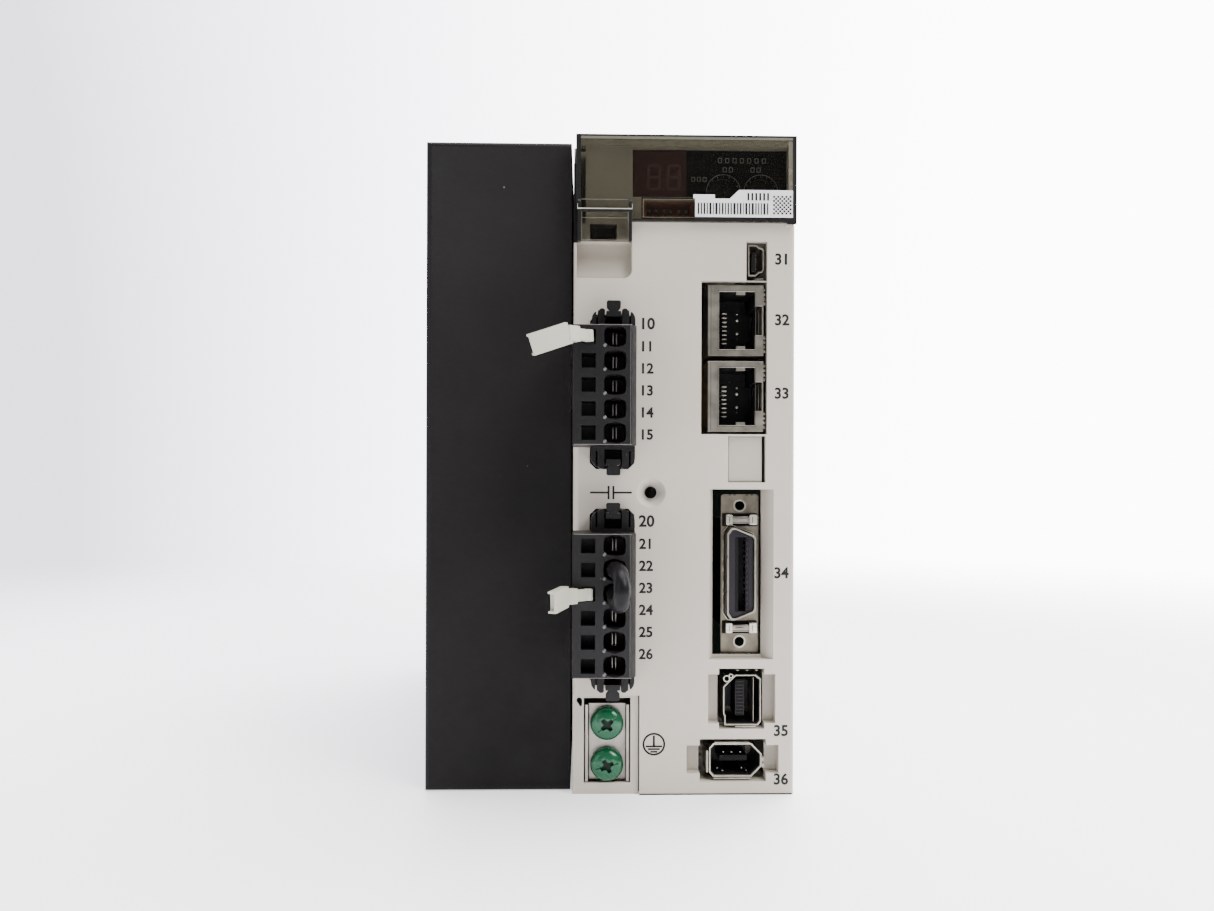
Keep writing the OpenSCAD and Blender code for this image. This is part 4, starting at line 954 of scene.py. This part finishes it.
def add_floor():
    """A pale floor that fades into the background with distance from the drive."""
    bpy.ops.mesh.primitive_plane_add(size=6, location=(0, 0, 0))
    floor = bpy.context.object
    floor.name = "floor"
    material, tree, shader = new_material("pale_floor")
    shader.inputs["Base Color"].default_value = (0.9, 0.9, 0.92, 1)
    shader.inputs["Roughness"].default_value = 0.6
    shader.inputs["Emission Color"].default_value = (0.97, 0.97, 1, 1)
    shader.inputs["Emission Strength"].default_value = 0.6
    add_bump(tree, shader, [(noise(tree, 400, 3), 0.1, 0.05)])
    coords = node(tree, "ShaderNodeTexCoord")
    reach = node(tree, "ShaderNodeVectorMath", operation="LENGTH")
    fade = node(tree, "ShaderNodeMapRange", interpolation_type="SMOOTHSTEP")
    fade.inputs["From Min"].default_value = 0.2
    fade.inputs["From Max"].default_value = 0.75
    clear = node(tree, "ShaderNodeBsdfTransparent")
    mix = node(tree, "ShaderNodeMixShader")
    out = tree.nodes["Material Output"]
    tree.links.new(coords.outputs["Object"], reach.inputs[0])
    tree.links.new(reach.outputs["Value"], fade.inputs["Value"])
    tree.links.new(fade.outputs["Result"], mix.inputs["Fac"])
    tree.links.new(shader.outputs["BSDF"], mix.inputs[1])
    tree.links.new(clear.outputs["BSDF"], mix.inputs[2])
    tree.links.new(mix.outputs["Shader"], out.inputs["Surface"])
    floor.data.materials.append(material)


def add_area_light(name, place, aim, size, power):
    """A white area light, with its place, aim and size in metres and its power in watts."""
    data = bpy.data.lights.new(name, "AREA")
    data.shape = "RECTANGLE"
    data.size, data.size_y = size
    data.energy = power
    light = bpy.data.objects.new(name, data)
    bpy.context.collection.objects.link(light)
    light.location = place
    light.rotation_euler = (Vector(aim) - Vector(place)).to_track_quat("-Z", "Y").to_euler()


def add_world():
    """Soft light from the front, and a bright backdrop that grows brighter to the right."""
    world = bpy.data.worlds.new("studio")
    bpy.context.scene.world = world
    world.use_nodes = True
    tree = world.node_tree
    coords = node(tree, "ShaderNodeTexCoord")
    split = node(tree, "ShaderNodeSeparateXYZ")
    tree.links.new(coords.outputs["Generated"], split.inputs["Vector"])
    behind = node(tree, "ShaderNodeMapRange", interpolation_type="SMOOTHSTEP")
    behind.inputs["From Min"].default_value = 0.0
    behind.inputs["From Max"].default_value = 0.6
    tree.links.new(split.outputs["Y"], behind.inputs["Value"])
    across = node(tree, "ShaderNodeMapRange")
    across.inputs["From Min"].default_value = -0.45
    across.inputs["From Max"].default_value = 0.35
    tree.links.new(split.outputs["X"], across.inputs["Value"])
    backdrop = node(tree, "ShaderNodeMix", data_type="RGBA")
    backdrop.inputs["A"].default_value = (2.5, 2.47, 2.75, 1)
    backdrop.inputs["B"].default_value = (12, 11.9, 12.9, 1)
    tree.links.new(across.outputs["Result"], backdrop.inputs["Factor"])
    whole = node(tree, "ShaderNodeMix", data_type="RGBA")
    whole.inputs["A"].default_value = (0.5, 0.495, 0.51, 1)
    tree.links.new(behind.outputs["Result"], whole.inputs["Factor"])
    tree.links.new(backdrop.outputs["Result"], whole.inputs["B"])
    tree.links.new(whole.outputs["Result"], tree.nodes["Background"].inputs["Color"])


def add_lights():
    middle = (0, -0.04, 0.07)
    add_area_light("key", (0.7, -0.65, 0.9), middle, (0.6, 0.6), 16)
    add_area_light("fill", (-0.95, -0.75, 0.4), middle, (0.7, 0.9), 3.5)
    add_area_light("top", (0.1, -0.12, 1.1), middle, (0.9, 0.9), 20)
    add_world()


def add_camera():
    """The camera stands close in front of the drive, near its middle height."""
    data = bpy.data.cameras.new("camera")
    data.sensor_width = 36
    data.lens = 29.37
    data.shift_y = 0.0222
    data.clip_start = 0.01
    camera = bpy.data.objects.new("camera", data)
    bpy.context.collection.objects.link(camera)
    place = (-6.06 * MM, -310.7 * MM, 71.3 * MM)
    yaw, roll = math.radians(-1.37), math.radians(0.16)
    turn = (Matrix.Rotation(yaw, 4, "Z") @ Matrix.Rotation(math.radians(90), 4, "X")
            @ Matrix.Rotation(roll, 4, "Z"))
    camera.matrix_world = Matrix.Translation(place) @ turn
    bpy.context.scene.camera = camera


dress_cad_nodes()
add_display_cover()
add_label()
add_display()
add_printed_marks()
add_network_details()
add_usb_details()
add_io_details()
add_small_port_details()
add_earth_screws()
add_seams()
add_plug_details()
add_floor()
add_lights()
add_camera()
